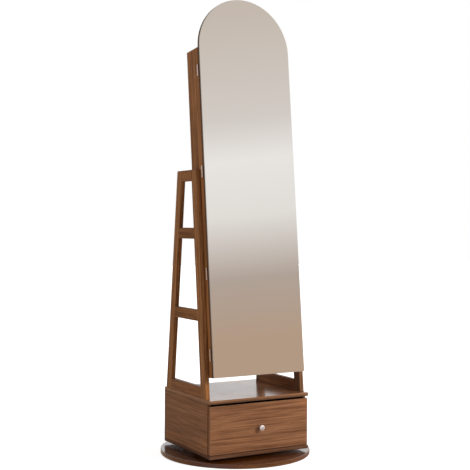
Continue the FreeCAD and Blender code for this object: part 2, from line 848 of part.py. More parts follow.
def make_hinges():
    """Four butt hinges: leaves on the cabinet, leaves on the door, and their pins."""
    odd = range(0, hinge_knuckles, 2)
    even = range(1, hinge_knuckles, 2)
    cabinet_end = -cabinet_half + cabinet_leaf_width
    door_end = -door_half + door_leaf_width
    cabinet_leaves = []
    door_leaves = []
    pins = []
    for middle in hinge_heights:
        low = middle - hinge_length / 2
        cabinet_leaves.append(leaned(hinge_half(low, odd, cabinet_front - hinge_leaf, cabinet_end)))
        door_leaves.append(leaned(hinge_half(low, even, door_back, door_end)))
        foot = Vector(hinge_x, hinge_depth, low)
        pins.append(leaned(rod(pin_radius, foot, foot + Z * hinge_length)))
    export("hinge_cabinet_leaves", *cabinet_leaves)
    export("hinge_door_leaves", *door_leaves)
    export("hinge_pins", *pins)


def make_catch():
    """Magnetic catch inside the cabinet's right side and its strike plate on the door."""
    low = catch_height - catch_length / 2
    high = catch_height + catch_length / 2
    width = (cabinet_inner - catch_width, cabinet_inner)
    face = door_back + strike_sheet + hinge_leaf_gap
    body = panel(width, (face, face + catch_body_depth), (low, high))
    slot_middle = cabinet_inner - catch_width / 2
    slot_half = catch_width * catch_slot_share / 2
    slot = block((slot_middle - slot_half, slot_middle + slot_half), (face, face + catch_slot_depth),
                 (low + catch_slot_end, high - catch_slot_end))
    export("magnetic_catch", leaned(body.cut(slot)))
    export("strike_plate", leaned(block(width, (door_back, door_back + strike_sheet), (low, high))))


def make_earring_bars():
    """Angle bars across the door's back, with a row of slots for earrings."""
    half = earring_bar_width / 2
    sheet = earring_bar_sheet
    reach = earring_bar_reach
    bars = []
    for height in earring_bar_heights:
        outline = [(door_back, height), (door_back + reach, height), (door_back + reach, height + sheet),
                   (door_back + sheet, height + sheet), (door_back + sheet, height + reach),
                   (door_back, height + reach)]
        bar = prism([Vector(-half, y, z) for y, z in outline], X * earring_bar_width)
        slots = []
        for index in range(earring_slots):
            x = earring_bar_width * ((index + 0.5) / earring_slots - 0.5)
            width = (x - earring_slot_width / 2, x + earring_slot_width / 2)
            depth = (door_back + reach - earring_slot_depth, door_back + reach)
            slots.append(block(width, depth, (height, height + sheet)))
        bars.append(leaned(bar.cut(slots)))
    export("earring_bars", *bars)


make_base()
make_turntable()
make_box()
make_drawer()
make_knob()
make_runners()
make_side_frames()
make_cabinet()
make_cabinet_bolts()
make_shelves()
make_ring_cushion()
make_necklace_rail()
make_bracelet_bar()
make_door()
make_hinges()
make_catch()
make_earring_bars()
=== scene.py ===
import json
import math

import bmesh
import bpy
import numpy as np
from mathutils import Matrix, Vector


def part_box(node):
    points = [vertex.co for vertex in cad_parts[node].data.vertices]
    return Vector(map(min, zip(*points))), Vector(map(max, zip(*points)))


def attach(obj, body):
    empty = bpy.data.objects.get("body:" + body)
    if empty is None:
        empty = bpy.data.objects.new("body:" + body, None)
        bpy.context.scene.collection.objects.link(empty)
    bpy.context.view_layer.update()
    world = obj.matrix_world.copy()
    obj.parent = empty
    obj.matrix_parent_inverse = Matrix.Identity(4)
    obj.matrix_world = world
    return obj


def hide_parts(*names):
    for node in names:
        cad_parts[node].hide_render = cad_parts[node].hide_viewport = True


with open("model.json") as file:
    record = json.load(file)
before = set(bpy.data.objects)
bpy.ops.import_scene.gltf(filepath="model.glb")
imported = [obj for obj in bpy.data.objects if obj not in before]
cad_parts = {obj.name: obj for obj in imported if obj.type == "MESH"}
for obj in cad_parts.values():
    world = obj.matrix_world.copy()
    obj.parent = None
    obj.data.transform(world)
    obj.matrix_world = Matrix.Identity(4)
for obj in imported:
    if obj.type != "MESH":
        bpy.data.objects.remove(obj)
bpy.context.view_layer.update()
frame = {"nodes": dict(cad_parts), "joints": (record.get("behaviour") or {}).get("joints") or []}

# Looks of the rotating jewelry armoire, in metres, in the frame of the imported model:
# +Z up, the mirror faces -Y, and the origin is the centre of the base's underside.

nodes = frame["nodes"]

# The cabinet, its door and the front legs lean back by the angle of the hinge axis
hinge_axis = next(joint["axis"] for joint in frame["joints"] if joint["name"] == "door_hinge")
LEAN = math.atan2(-hinge_axis[1], -hinge_axis[2])
QUARTER = math.pi / 2

# Camera, fitted to the photograph's edges: place in metres, angles in degrees
CAMERA_PLACE = (-1.737, -3.0777, 0.8027)
CAMERA_YAW = 29.374
CAMERA_PITCH = -0.489
CAMERA_ROLL = 0.285
LENS_MM = 75.995
SENSOR_MM = 36.0

# Sockets of the Mix node that carry colours and vectors
MIX_A, MIX_B, MIX_OUT = 6, 7, 2
VECTOR_A, VECTOR_B, VECTOR_OUT = 4, 5, 1


def linear(red, green, blue):
    """Screen colour from 0 to 255 as the linear colour that a shader takes."""
    shares = [channel / 255 for channel in (red, green, blue)]
    return tuple(((share + 0.055) / 1.055) ** 2.4 for share in shares) + (1.0,)


class Wiring:
    """Adds shader nodes to one tree and joins them."""

    def __init__(self, tree):
        self.tree = tree

    def node(self, kind, **settings):
        made = self.tree.nodes.new("ShaderNode" + kind)
        for key, value in settings.items():
            setattr(made, key, value)
        return made

    def feed(self, socket, value):
        """Joins a socket to another one, or sets a constant on it."""
        if isinstance(value, bpy.types.NodeSocket):
            self.tree.links.new(value, socket)
        else:
            socket.default_value = value

    def math(self, operation, first, second=0.0, clamp=False):
        made = self.node("Math", operation=operation, use_clamp=clamp)
        self.feed(made.inputs[0], first)
        self.feed(made.inputs[1], second)
        return made.outputs[0]

    def vector(self, operation, first, second=(0.0, 0.0, 0.0), output="Vector"):
        made = self.node("VectorMath", operation=operation)
        self.feed(made.inputs[0], first)
        self.feed(made.inputs[1], second)
        return made.outputs[output]

    def noise(self, vector, detail=2.0, roughness=0.5, scale=1.0):
        made = self.node("TexNoise")
        self.feed(made.inputs["Vector"], vector)
        made.inputs["Scale"].default_value = scale
        made.inputs["Detail"].default_value = detail
        made.inputs["Roughness"].default_value = roughness
        return made.outputs["Fac"]

    def spread(self, value, low, high, low_to=0.0, high_to=1.0):
        """A value taken smoothly from low..high to low_to..high_to."""
        made = self.node("MapRange", interpolation_type="SMOOTHSTEP")
        for socket, number in zip(made.inputs, (value, low, high, low_to, high_to)):
            self.feed(socket, number)
        return made.outputs[0]

    def between(self, mask, low, high):
        """A mask's 0 to 1 taken smoothly to low..high."""
        return self.spread(mask, 0.0, 1.0, low, high)

    def swing(self, noise, width):
        """A noise, which lies round 0.5, as a swing round 0."""
        return self.math("MULTIPLY", self.math("SUBTRACT", noise, 0.5), width)

    def own_normal(self):
        """The surface's normal in its piece's own axes, which turn with the piece."""
        made = self.node("VectorTransform", vector_type="NORMAL", convert_from="WORLD", convert_to="OBJECT")
        self.feed(made.inputs[0], self.node("NewGeometry").outputs["True Normal"])
        return made.outputs[0]

    def parts(self, vector):
        """X, Y and Z of a vector."""
        made = self.node("SeparateXYZ")
        self.feed(made.inputs[0], vector)
        return made.outputs

    def mix(self, share, first, second, blend="MIX"):
        made = self.node("Mix", data_type="RGBA", blend_type=blend)
        self.feed(made.inputs[0], share)
        self.feed(made.inputs[MIX_A], first)
        self.feed(made.inputs[MIX_B], second)
        return made.outputs[MIX_OUT]

    def choice(self, share, first, second):
        """The first vector where the share is 0, and the second one where it is 1."""
        made = self.node("Mix", data_type="VECTOR")
        self.feed(made.inputs[0], share)
        self.feed(made.inputs[VECTOR_A], first)
        self.feed(made.inputs[VECTOR_B], second)
        return made.outputs[VECTOR_OUT]


def new_group(name, inputs, outputs):
    """Node group with named sockets: its wiring, what it is given and what is taken from it."""
    tree = bpy.data.node_groups.new(name, "ShaderNodeTree")
    for socket, kind, value in inputs:
        made = tree.interface.new_socket(socket, in_out="INPUT", socket_type="NodeSocket" + kind)
        if value is not None:
            made.default_value = value
    for socket, kind in outputs:
        tree.interface.new_socket(socket, in_out="OUTPUT", socket_type="NodeSocket" + kind)
    wiring = Wiring(tree)
    given = tree.nodes.new("NodeGroupInput")
    taken = tree.nodes.new("NodeGroupOutput")
    return wiring, given.outputs, taken.inputs


# Layers of the walnut figure: how fast each changes along X, which is the grain, Y and Z
WAVER_RATE = (1.3, 4.0, 4.0)
FIGURE_RATE = (1.1, 24.0, 24.0)
STREAK_RATE = (3.2, 170.0, 170.0)
VEIN_RATE = (2.4, 110.0, 110.0)
FIBRE_RATE = (11.0, 900.0, 900.0)
PORE_RATE = (50.0, 1900.0, 1900.0)
BLUSH_RATE = (3.4, 13.0, 13.0)

# How far the waver bends the lines, in metres, and how much each layer shows
WAVER_SHIFT = 0.022
FIGURE_SWING = 0.9
STREAK_SWING = 3.6
BLUSH_SHARE = 0.4
VEIN_SHARE = 0.45
PORE_SHARE = 0.45
FIBRE_SHADES = (0.82, 1.12)

# Noise values between which blush, veins, fibres and pores come in
BLUSH_RANGE = (0.52, 0.72)
VEIN_RANGE = (0.55, 0.68)
FIBRE_RANGE = (0.3, 0.7)
PORE_RANGE = (0.64, 0.72)

# How much streaks and pores dull the surface, how far fibres rise, and how far pores sink
STREAK_SHINE, PORE_SHINE = 0.5, 0.3
FIBRE_RISE, PORE_SINK = 0.5, 0.8

# Cosines between a surface and an axis: more than the first is a board's end, and an arris
# lies below the second, fading out at the third
END_COSINE = 0.7
ARRIS_COSINE = 0.75
FLAT_COSINE = 0.95


def turned_at_ends(wire, place, normal, along_z):
    """A board's coordinates, turned on its ends, which face X. The grain runs along Y there, or
    along Z where along_z is 1."""
    parts = wire.parts(place)
    turned = []
    for order in ("YXZ", "ZYX"):
        made = wire.node("CombineXYZ")
        for socket, source in zip(made.inputs, order):
            wire.feed(socket, parts[source])
        turned.append(made.outputs[0])
    facing = wire.parts(wire.vector("ABSOLUTE", normal))
    at_end = wire.math("GREATER_THAN", facing["X"], END_COSINE)
    return wire.choice(at_end, place, wire.choice(along_z, *turned))


def walnut_group():
    """Walnut figure with the grain along X, and across on ends. Everything is noise stretched
    along the grain: a slow figure, narrower streaks, fibres and short dark pores. A slow waver
    bends the lines."""
    wire, given, taken = new_group(
        "walnut_figure",
        [("Vector", "Vector", None), ("Normal", "Vector", None), ("Ends Along Z", "Float", 0.0),
         ("Light", "Color", None), ("Dark", "Color", None), ("Red", "Color", None),
         ("Contrast", "Float", 1.0)],
        [("Colour", "Color"), ("Shine", "Float"), ("Height", "Float")])
    place = turned_at_ends(wire, given["Vector"], given["Normal"], given["Ends Along Z"])
    waver = wire.noise(wire.vector("MULTIPLY", place, WAVER_RATE))
    bend = wire.node("CombineXYZ")
    shift = wire.swing(waver, WAVER_SHIFT)
    wire.feed(bend.inputs["Y"], shift)
    wire.feed(bend.inputs["Z"], shift)
    bent = wire.vector("ADD", place, bend.outputs[0])
    figure = wire.noise(wire.vector("MULTIPLY", bent, FIGURE_RATE), 3.0, 0.6)
    streaks = wire.noise(wire.vector("MULTIPLY", bent, STREAK_RATE), 4.0, 0.8)
    veins = wire.noise(wire.vector("MULTIPLY", bent, VEIN_RATE), 3.0, 0.7)
    fibres = wire.noise(wire.vector("MULTIPLY", bent, FIBRE_RATE))
    pores = wire.noise(wire.vector("MULTIPLY", bent, PORE_RATE), 1.0)
    blush = wire.noise(wire.vector("MULTIPLY", bent, BLUSH_RATE))

    swing = wire.math("ADD", wire.swing(figure, FIGURE_SWING), wire.swing(streaks, STREAK_SWING))
    tone = wire.math("ADD", wire.math("MULTIPLY", swing, given["Contrast"]), 0.5, clamp=True)
    colour = wire.mix(tone, given["Dark"], given["Light"])
    colour = wire.mix(wire.spread(blush, *BLUSH_RANGE, high_to=BLUSH_SHARE), colour, given["Red"])
    colour = wire.mix(wire.spread(veins, *VEIN_RANGE, high_to=VEIN_SHARE), colour, given["Dark"])
    fine = wire.spread(fibres, *FIBRE_RANGE, *FIBRE_SHADES)
    shade = wire.node("CombineColor")
    for channel in shade.inputs:
        wire.feed(channel, fine)
    colour = wire.mix(1.0, colour, shade.outputs[0], "MULTIPLY")
    pore = wire.spread(pores, *PORE_RANGE)
    colour = wire.mix(wire.math("MULTIPLY", pore, PORE_SHARE), colour, given["Dark"])
    wire.feed(taken["Colour"], colour)
    wire.feed(taken["Shine"], wire.math("ADD", wire.math("MULTIPLY", streaks, STREAK_SHINE),
                                        wire.math("MULTIPLY", pore, PORE_SHINE)))
    wire.feed(taken["Height"], wire.math("SUBTRACT", wire.math("MULTIPLY", fibres, FIBRE_RISE),
                                         wire.math("MULTIPLY", pore, PORE_SINK)))
    return wire.tree


def arris_group():
    """Mask of a board's chamfered arrises: there no component of the normal is near one."""
    wire, given, taken = new_group("arris_mask", [("Normal", "Vector", None)], [("Mask", "Float")])
    parts = wire.parts(wire.vector("ABSOLUTE", given["Normal"]))
    most = wire.math("MAXIMUM", wire.math("MAXIMUM", parts["X"], parts["Y"]), parts["Z"])
    wire.feed(taken["Mask"], wire.spread(most, ARRIS_COSINE, FLAT_COSINE, 1.0, 0.0))
    return wire.tree


# Noise values between which wipe marks and dust specks show, and how much finer specks are
WIPE_RANGE = (0.35, 0.7)
SPECK_RANGE = (0.68, 0.76)
SPECK_RATE = 22.0


def scuff_group():
    """Faint uneven wipe marks and dust specks, as a shine and a height, at a given size."""
    wire, given, taken = new_group(
        "scuffs", [("Vector", "Vector", None), ("Size", "Float", 30.0)],
        [("Shine", "Float"), ("Height", "Float"), ("Speck", "Float")])
    scaled = wire.node("VectorMath", operation="SCALE")
    wire.feed(scaled.inputs[0], given["Vector"])
    wire.feed(scaled.inputs["Scale"], given["Size"])
    wide = wire.noise(scaled.outputs[0], 4.0, 0.6)
    fine = wire.noise(scaled.outputs[0], scale=SPECK_RATE)
    wire.feed(taken["Shine"], wire.spread(wide, *WIPE_RANGE))
    wire.feed(taken["Height"], fine)
    wire.feed(taken["Speck"], wire.spread(fine, *SPECK_RANGE))
    return wire.tree


# Velvet's brushed patches and its hairs: how fast each changes along X, Y and Z. The patches
# have this share in its look, the hairs have the rest, and it shows between two values.
PATCH_RATE = (70.0, 70.0, 38.0)
HAIR_RATE = (2600.0, 2600.0, 1500.0)
PATCH_SHARE = 0.6
PILE_RANGE = (0.3, 0.7)


def pile_group():
    """Short velvet pile: brushed patches a few centimetres wide over fine hair noise."""
    wire, given, taken = new_group(
        "velvet_pile", [("Vector", "Vector", None)], [("Brushed", "Float"), ("Height", "Float")])
    patches = wire.noise(wire.vector("MULTIPLY", given["Vector"], PATCH_RATE), 3.0, 0.6)
    hairs = wire.noise(wire.vector("MULTIPLY", given["Vector"], HAIR_RATE))
    brushed = wire.math("ADD", wire.math("MULTIPLY", patches, PATCH_SHARE),
                        wire.math("MULTIPLY", hairs, 1 - PATCH_SHARE))
    wire.feed(taken["Brushed"], brushed)
    wire.feed(taken["Height"], hairs)
    return wire.tree


# Way from the mirror's face into the cabinet, square to the glass
DEPTH_WAY = (0.0, math.cos(LEAN), -math.sin(LEAN))


def facing_group():
    """Mask that grows from 0 to 1 between two cosines of a surface against the depth way."""
    wire, given, taken = new_group(
        "facing_mask", [("Normal", "Vector", None), ("Low", "Float", 0.0), ("High", "Float", 1.0)],
        [("Mask", "Float")])
    along = wire.math("ABSOLUTE", wire.vector("DOT_PRODUCT", given["Normal"], DEPTH_WAY, "Value"))
    wire.feed(taken["Mask"], wire.spread(along, given["Low"], given["High"]))
    return wire.tree


# How much lighter the pale patches of an edge band and of painted edge shade are, and their changes in a
# metre
BAND_LIGHTER = (1.6, 1.6, 1.6, 1.0)
BAND_RATE = 40.0


def band_and_shade_group():
    """Uneven colour round a tone: of a plain edge band, and of painted shade on edges."""
    wire, given, taken = new_group(
        "band_and_shade", [("Vector", "Vector", None), ("Tone", "Color", None)], [("Colour", "Color")])
    lighter = wire.mix(1.0, given["Tone"], BAND_LIGHTER, "MULTIPLY")
    patches = wire.noise(given["Vector"], 3.0, 0.6, BAND_RATE)
    wire.feed(taken["Colour"], wire.mix(patches, given["Tone"], lighter))
    return wire.tree


WALNUT = walnut_group()
ARRIS = arris_group()
SCUFFS = scuff_group()
PILE = pile_group()
FACING = facing_group()
BAND = band_and_shade_group()


def new_material(name):
    """Empty material with its wiring, its Principled shader and its object coordinates."""
    material = bpy.data.materials.new(name)
    material.use_nodes = True
    wire = Wiring(material.node_tree)
    shader = material.node_tree.nodes["Principled BSDF"]
    place = wire.node("TexCoord").outputs["Object"]
    return material, wire, shader, place


def use_group(wire, group, **values):
    """One use of a node group, with its inputs joined or set by name. A name's underscores stand
    for spaces."""
    made = wire.node("Group", node_tree=group)
    for key, value in values.items():
        wire.feed(made.inputs[key.replace("_", " ")], value)
    return made.outputs


def bump(wire, shader, height, strength, distance):
    """Bump on a shader's normal from a height."""
    made = wire.node("Bump")
    made.inputs["Strength"].default_value = strength
    made.inputs["Distance"].default_value = distance
    wire.feed(made.inputs["Height"], height)
    wire.feed(shader.inputs["Normal"], made.outputs[0])


# Turns that bring a board's grain to X: boards run along X, Y or Z, and leaning ones along
# their own slope, towards the back or towards the front
ALONG_X = (0.0, 0.0, 0.0)
ALONG_Y = (0.0, 0.0, -QUARTER)
LEANING_BACK = (LEAN, QUARTER, 0.0)
LEANING_FORWARD = (-LEAN, QUARTER, 0.0)
LEANING_X = (LEAN, 0.0, 0.0)

# Tones of the laminate: its light ground, dark veins and reddish blush
WALNUT_TONES = {"Light": (0.355, 0.159, 0.075, 1.0), "Dark": (0.15, 0.058, 0.0235, 1.0),
                "Red": (0.41, 0.158, 0.054, 1.0)}


def toned(red, green, blue, contrast):
    """Tones of the laminate with each colour channel scaled, and its contrast: those of another sheet, and
    the disc's, which are darkened as painted shade.
    """
    scaled = {key: (tone[0] * red, tone[1] * green, tone[2] * blue, 1.0)
              for key, tone in WALNUT_TONES.items()}
    return {**scaled, "Contrast": contrast}


# Sheets that some boards are cut from, by words in the boards' names, the first that fits
SHEETS = {
    "bottom_board": toned(0.50, 0.50, 0.58, 1.2),
    "leg_right": toned(0.85, 0.93, 0.98, 1.5),
    "leg": toned(1.30, 1.25, 0.95, 1.5),
    "cabinet": toned(1.22, 1.12, 0.80, 1.7),
    "rung": toned(0.98, 0.90, 0.62, 1.7),
    "top_rail": toned(1.18, 1.12, 0.82, 1.7),
    "foot_rail": toned(0.93, 0.84, 0.70, 1.3),
}

# The disc's polished top, darkened as painted shade of the box above it, and how much lighter its
# rim is, which is lifted out of that painted shade; the tones of dark arrises, of arrises painted
# pale as a highlight, of edge bands and of painted shade on edges; and the shine of edges that are dull
DISC_SHADED_TONES = toned(0.34, 0.20, 0.06, 1.4)
DISC_RIM = (1.45, 1.95, 3.9, 1.0)
ARRIS_DARK = (0.10, 0.042, 0.020, 1.0)
# Arris tone painted pale as a highlight, where light catches an eased edge
ARRIS_PAINTED_HIGHLIGHT = (0.50, 0.27, 0.14, 1.0)
EDGE_BAND = (0.085, 0.043, 0.025, 1.0)
# Tone of painted shade on edges that lie in shadow
SHADED_BAND = (0.034, 0.018, 0.011, 1.0)
DULL_SPECULAR = 0.03

# Step in the sheet, in metres, from the place where one board is cut to the next one's, and the
# numbers of the places of four boards that have a finish of their own
BOARD_STEP = (0.371, 0.113, 0.229)
DOOR_PLACE = 30
FRONT_PLACE = 35
TOP_PLACE = 40
DISC_PLACE = 41

# Finish of the laminate: how much an arris takes its tone, how much the figure and the scuffs
# vary the roughness, the shine of its lacquer, the roughness of a polished coat, and the arris
# mask at which the coat is worn off
ARRIS_SHARE = 0.55
FIGURE_SHINE = 0.14
SCUFF_SHINE = 0.08
LACQUER_SPECULAR = 0.16
COAT_ROUGHNESS = 0.12
COAT_WORN = 0.5


def walnut(name, turn, index, end_way="Y", tones=WALNUT_TONES, arris_tone=ARRIS_DARK, roughness=0.32,
           coat=0.0):
    """Walnut laminate of one board, cut from its own place in the sheet. Its ends have edge bands,
    whose grain runs along the end way of the board turned to X. The roughness is its least one."""
    material, wire, shader, place = new_material(name)
    mapping = wire.node("Mapping")
    wire.feed(mapping.inputs["Vector"], place)
    mapping.inputs["Rotation"].default_value = turn
    mapping.inputs["Location"].default_value = [step * index for step in BOARD_STEP]
    squared = wire.node("Mapping", vector_type="VECTOR")
    wire.feed(squared.inputs["Vector"], wire.own_normal())
    squared.inputs["Rotation"].default_value = turn
    figure = use_group(wire, WALNUT, Vector=mapping.outputs[0], Normal=squared.outputs[0],
                       Ends_Along_Z=float(end_way == "Z"), **tones)
    arris = use_group(wire, ARRIS, Normal=squared.outputs[0])["Mask"]
    scuffs = use_group(wire, SCUFFS, Vector=place, Size=9.0)
    colour = wire.mix(wire.math("MULTIPLY", arris, ARRIS_SHARE), figure["Colour"], arris_tone)
    wire.feed(shader.inputs["Base Color"], colour)
    spread = wire.math("ADD", wire.math("MULTIPLY", figure["Shine"], FIGURE_SHINE),
                       wire.math("MULTIPLY", scuffs["Shine"], SCUFF_SHINE))
    wire.feed(shader.inputs["Roughness"], wire.math("ADD", spread, roughness))
    shader.inputs["Specular IOR Level"].default_value = LACQUER_SPECULAR
    if coat:
        wire.feed(shader.inputs["Coat Weight"], wire.spread(arris, 0.0, COAT_WORN, coat, 0.0))
    shader.inputs["Coat Roughness"].default_value = COAT_ROUGHNESS
    bump(wire, shader, figure["Height"], strength=0.22, distance=0.0002)
    return material


def facing_mask(wire, low, high):
    """1 where a leaning piece's surface is square to the depth way, 0 on its edges."""
    return use_group(wire, FACING, Normal=wire.own_normal(), Low=low, High=high)["Mask"]


def wood_of(material):
    """A walnut material's wiring, its shader and the colour that it shows."""
    wire = Wiring(material.node_tree)
    shader = material.node_tree.nodes["Principled BSDF"]
    return wire, shader, shader.inputs["Base Color"].links[0].from_socket


def band_and_shade_colour(wire, tone):
    """Patchy colour in one tone: of a plain edge band, and of painted shade on edges."""
    return use_group(wire, BAND, Vector=wire.node("TexCoord").outputs["Object"], Tone=tone)["Colour"]


# Cosines between which a mask comes in: to the depth way on the door and the glass, to Z and X on
# the drawer front's edges, to Z on the disc, and to Y on surfaces that face forward
DOOR_FACE = (0.4, 0.8)
GLASS_FACE = (0.75, 0.95)
FRONT_TOP = (0.75, 0.9)
FRONT_RIGHT = (0.3, 0.6)
DISC_FACE = (0.3, 0.9)
TURNED_FORWARD = (-0.6, -0.3)
EDGE_FORWARD = (-0.7, -0.3)

# The top board's front edge, whose lower half carries painted shade: how far that painted shade fades
# out below and above the middle, in metres, and its strength
SHADE_BELOW, SHADE_ABOVE = 0.001, 0.0005
SHADE_STRENGTH = 0.6


def banded_door():
    """Walnut door board whose edge, also round the arch, has a dull brown band."""
    material = walnut("walnut_door_board", LEANING_BACK, DOOR_PLACE)
    wire, shader, wood = wood_of(material)
    shown = wire.mix(facing_mask(wire, *DOOR_FACE), band_and_shade_colour(wire, EDGE_BAND), wood)
    wire.feed(shader.inputs["Base Color"], shown)
    shader.inputs["Specular IOR Level"].default_value = DULL_SPECULAR
    return material


def banded_front():
    """Walnut drawer front whose arrises are painted pale as a highlight, but whose right arris and top
    edge are painted dark as shade of the gaps beside them.
    """
    material = walnut("walnut_drawer_front", ALONG_X, FRONT_PLACE, "Z", arris_tone=ARRIS_PAINTED_HIGHLIGHT)
    wire, shader, wood = wood_of(material)
    normal = wire.parts(wire.own_normal())
    # Painted shade on the top edge and the right arris, which lie in the shadow of the gaps beside them
    top = wire.spread(normal["Z"], *FRONT_TOP)
    rightward = wire.spread(normal["X"], *FRONT_RIGHT)
    forward = wire.spread(normal["Y"], *TURNED_FORWARD, 1.0, 0.0)
    right = wire.math("MULTIPLY", rightward, forward)
    shown = wire.mix(wire.math("MAXIMUM", top, right), wood, band_and_shade_colour(wire, SHADED_BAND))
    wire.feed(shader.inputs["Base Color"], shown)
    return material


def polished_top():
    """Polished walnut top board whose arrises are painted pale as a highlight. The lower half of its
    front edge is painted dark as shade.
    """
    material = walnut("walnut_top_board", ALONG_X, TOP_PLACE, arris_tone=ARRIS_PAINTED_HIGHLIGHT, roughness=0.14,
                      coat=0.6)
    wire, shader, wood = wood_of(material)
    low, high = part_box("top_board")
    place = wire.parts(wire.node("TexCoord").outputs["Object"])
    middle = (low.z + high.z) / 2
    # Painted shade on the lower half of the front edge
    lower = wire.spread(place["Z"], middle - SHADE_BELOW, middle + SHADE_ABOVE, SHADE_STRENGTH, 0.0)
    front = wire.spread(wire.parts(wire.own_normal())["Y"], *EDGE_FORWARD, 1.0, 0.0)
    shade = wire.math("MULTIPLY", lower, front)
    wire.feed(shader.inputs["Base Color"], wire.mix(shade, wood, band_and_shade_colour(wire, SHADED_BAND)))
    return material


def polished_disc():
    """Polished walnut disc, its tones darkened as painted shade of the box above it, with a lighter rim
    that is lifted out of that painted shade.
    """
    material = walnut("walnut_base_disc", ALONG_X, DISC_PLACE, tones=DISC_SHADED_TONES, roughness=0.1, coat=0.9)
    wire, shader, wood = wood_of(material)
    upright = wire.math("ABSOLUTE", wire.parts(wire.own_normal())["Z"])
    # Painted shade: the top keeps the darkened tones, and the rim is lifted out of them
    rim = wire.spread(upright, *DISC_FACE, 1.0, 0.0)
    wire.feed(shader.inputs["Base Color"], wire.mix(rim, wood, wire.mix(1.0, wood, DISC_RIM, "MULTIPLY")))
    return material


# The mirror's ground edge and its silver: colour and roughness, and how much specks of dust dull it
GROUND_GLASS = (0.36, 0.31, 0.26, 1.0)
SILVER = (0.93, 0.93, 0.925, 1.0)
GROUND_ROUGHNESS = 0.5
SILVER_ROUGHNESS = 0.012
DUST_DULL = 0.02


def mirror_glass():
    """Silvered glass: a clean reflection on its face, and greyish ground glass on its bevel and edge."""
    material, wire, shader, place = new_material("silvered_mirror")
    face = facing_mask(wire, *GLASS_FACE)
    scuffs = use_group(wire, SCUFFS, Vector=place, Size=6.0)
    wire.feed(shader.inputs["Base Color"], wire.mix(face, GROUND_GLASS, SILVER))
    wire.feed(shader.inputs["Metallic"], face)
    dust = wire.math("MULTIPLY", scuffs["Speck"], DUST_DULL)
    polish = wire.between(face, GROUND_ROUGHNESS, SILVER_ROUGHNESS)
    wire.feed(shader.inputs["Roughness"], wire.math("ADD", polish, dust))
    shader.inputs["Specular IOR Level"].default_value = DULL_SPECULAR
    return material


# How much darker metal is where it is worn, and how much rougher
WORN_DARK = 0.8
WORN_ROUGH = 0.12


def metal(name, colour, roughness, brushed=(1.0, 1.0, 1.0), size=60.0, strength=0.1):
    """Plated metal with faint brush lines or spangle, stretched by the brushed factors."""
    material, wire, shader, place = new_material(name)
    scuffs = use_group(wire, SCUFFS, Vector=wire.vector("MULTIPLY", place, brushed), Size=size)
    darker = tuple(channel * WORN_DARK for channel in colour[:3]) + (1.0,)
    wire.feed(shader.inputs["Base Color"], wire.mix(scuffs["Shine"], colour, darker))
    worn = wire.math("MULTIPLY", scuffs["Shine"], WORN_ROUGH)
    wire.feed(shader.inputs["Roughness"], wire.math("ADD", worn, roughness))
    shader.inputs["Metallic"].default_value = 1.0
    bump(wire, shader, scuffs["Height"], strength, distance=0.00005)
    return material


def velvet(name, dark, light):
    """Short-pile velvet with a sheen that catches on its crests."""
    material, wire, shader, place = new_material(name)
    pile = use_group(wire, PILE, Vector=place)
    brushed = wire.spread(pile["Brushed"], *PILE_RANGE)
    wire.feed(shader.inputs["Base Color"], wire.mix(brushed, dark, light))
    wire.feed(shader.inputs["Roughness"], wire.between(brushed, 0.95, 0.8))
    shader.inputs["Sheen Weight"].default_value = 0.8
    shader.inputs["Sheen Roughness"].default_value = 0.35
    shader.inputs["Sheen Tint"].default_value = (0.55, 0.5, 0.5, 1.0)
    bump(wire, shader, pile["Height"], strength=0.5, distance=0.0004)
    return material


# The printed weave's changes in a metre across its threads and along them, the values between
# which it shows, and its two tones
THREAD_RATE = 1500.0
SLUB_RATE = 90.0
WEAVE_RANGE = (0.38, 0.62)
WEAVE_DARK = (0.10, 0.075, 0.06, 1.0)
WEAVE_LIGHT = (0.17, 0.13, 0.105, 1.0)


def drawer_foil():
    """Matt foil on the drawer's boards, printed with a fine linen weave."""
    material, wire, shader, place = new_material("drawer_foil")
    across = wire.noise(wire.vector("MULTIPLY", place, (THREAD_RATE, SLUB_RATE, THREAD_RATE)), 1.0)
    along = wire.noise(wire.vector("MULTIPLY", place, (SLUB_RATE, THREAD_RATE, SLUB_RATE)), 1.0)
    weave = wire.math("MULTIPLY", wire.math("ADD", across, along), 0.5)
    shown = wire.spread(weave, *WEAVE_RANGE)
    wire.feed(shader.inputs["Base Color"], wire.mix(shown, WEAVE_DARK, WEAVE_LIGHT))
    scuffs = use_group(wire, SCUFFS, Vector=place, Size=14.0)
    wire.feed(shader.inputs["Roughness"], wire.between(scuffs["Shine"], 0.5, 0.66))
    bump(wire, shader, weave, strength=0.3, distance=0.0002)
    return material


# Ring on the knob's table, a painted view of the screw and its bore through the crystal
KNOB_RING_INNER = 0.0022
KNOB_RING_OUTER = 0.0044
KNOB_RING_BLUR = 0.0006

# The crystal's tones: clean and hazy, its ring, a painted view of the screw through it, and its rear
# facets, painted as dark reflections; how much both of these show, and how much haze dulls it
CRYSTAL_CLEAN = (0.96, 0.87, 0.84, 1.0)
CRYSTAL_HAZY = (0.92, 0.83, 0.80, 1.0)
RING_PAINTED_SCREW = (0.22, 0.18, 0.17, 1.0)
REAR_PAINTED_REFLECTION = (0.20, 0.14, 0.11, 1.0)
CRYSTAL_SHARE = 0.85
HAZE_ROUGHNESS = 0.05


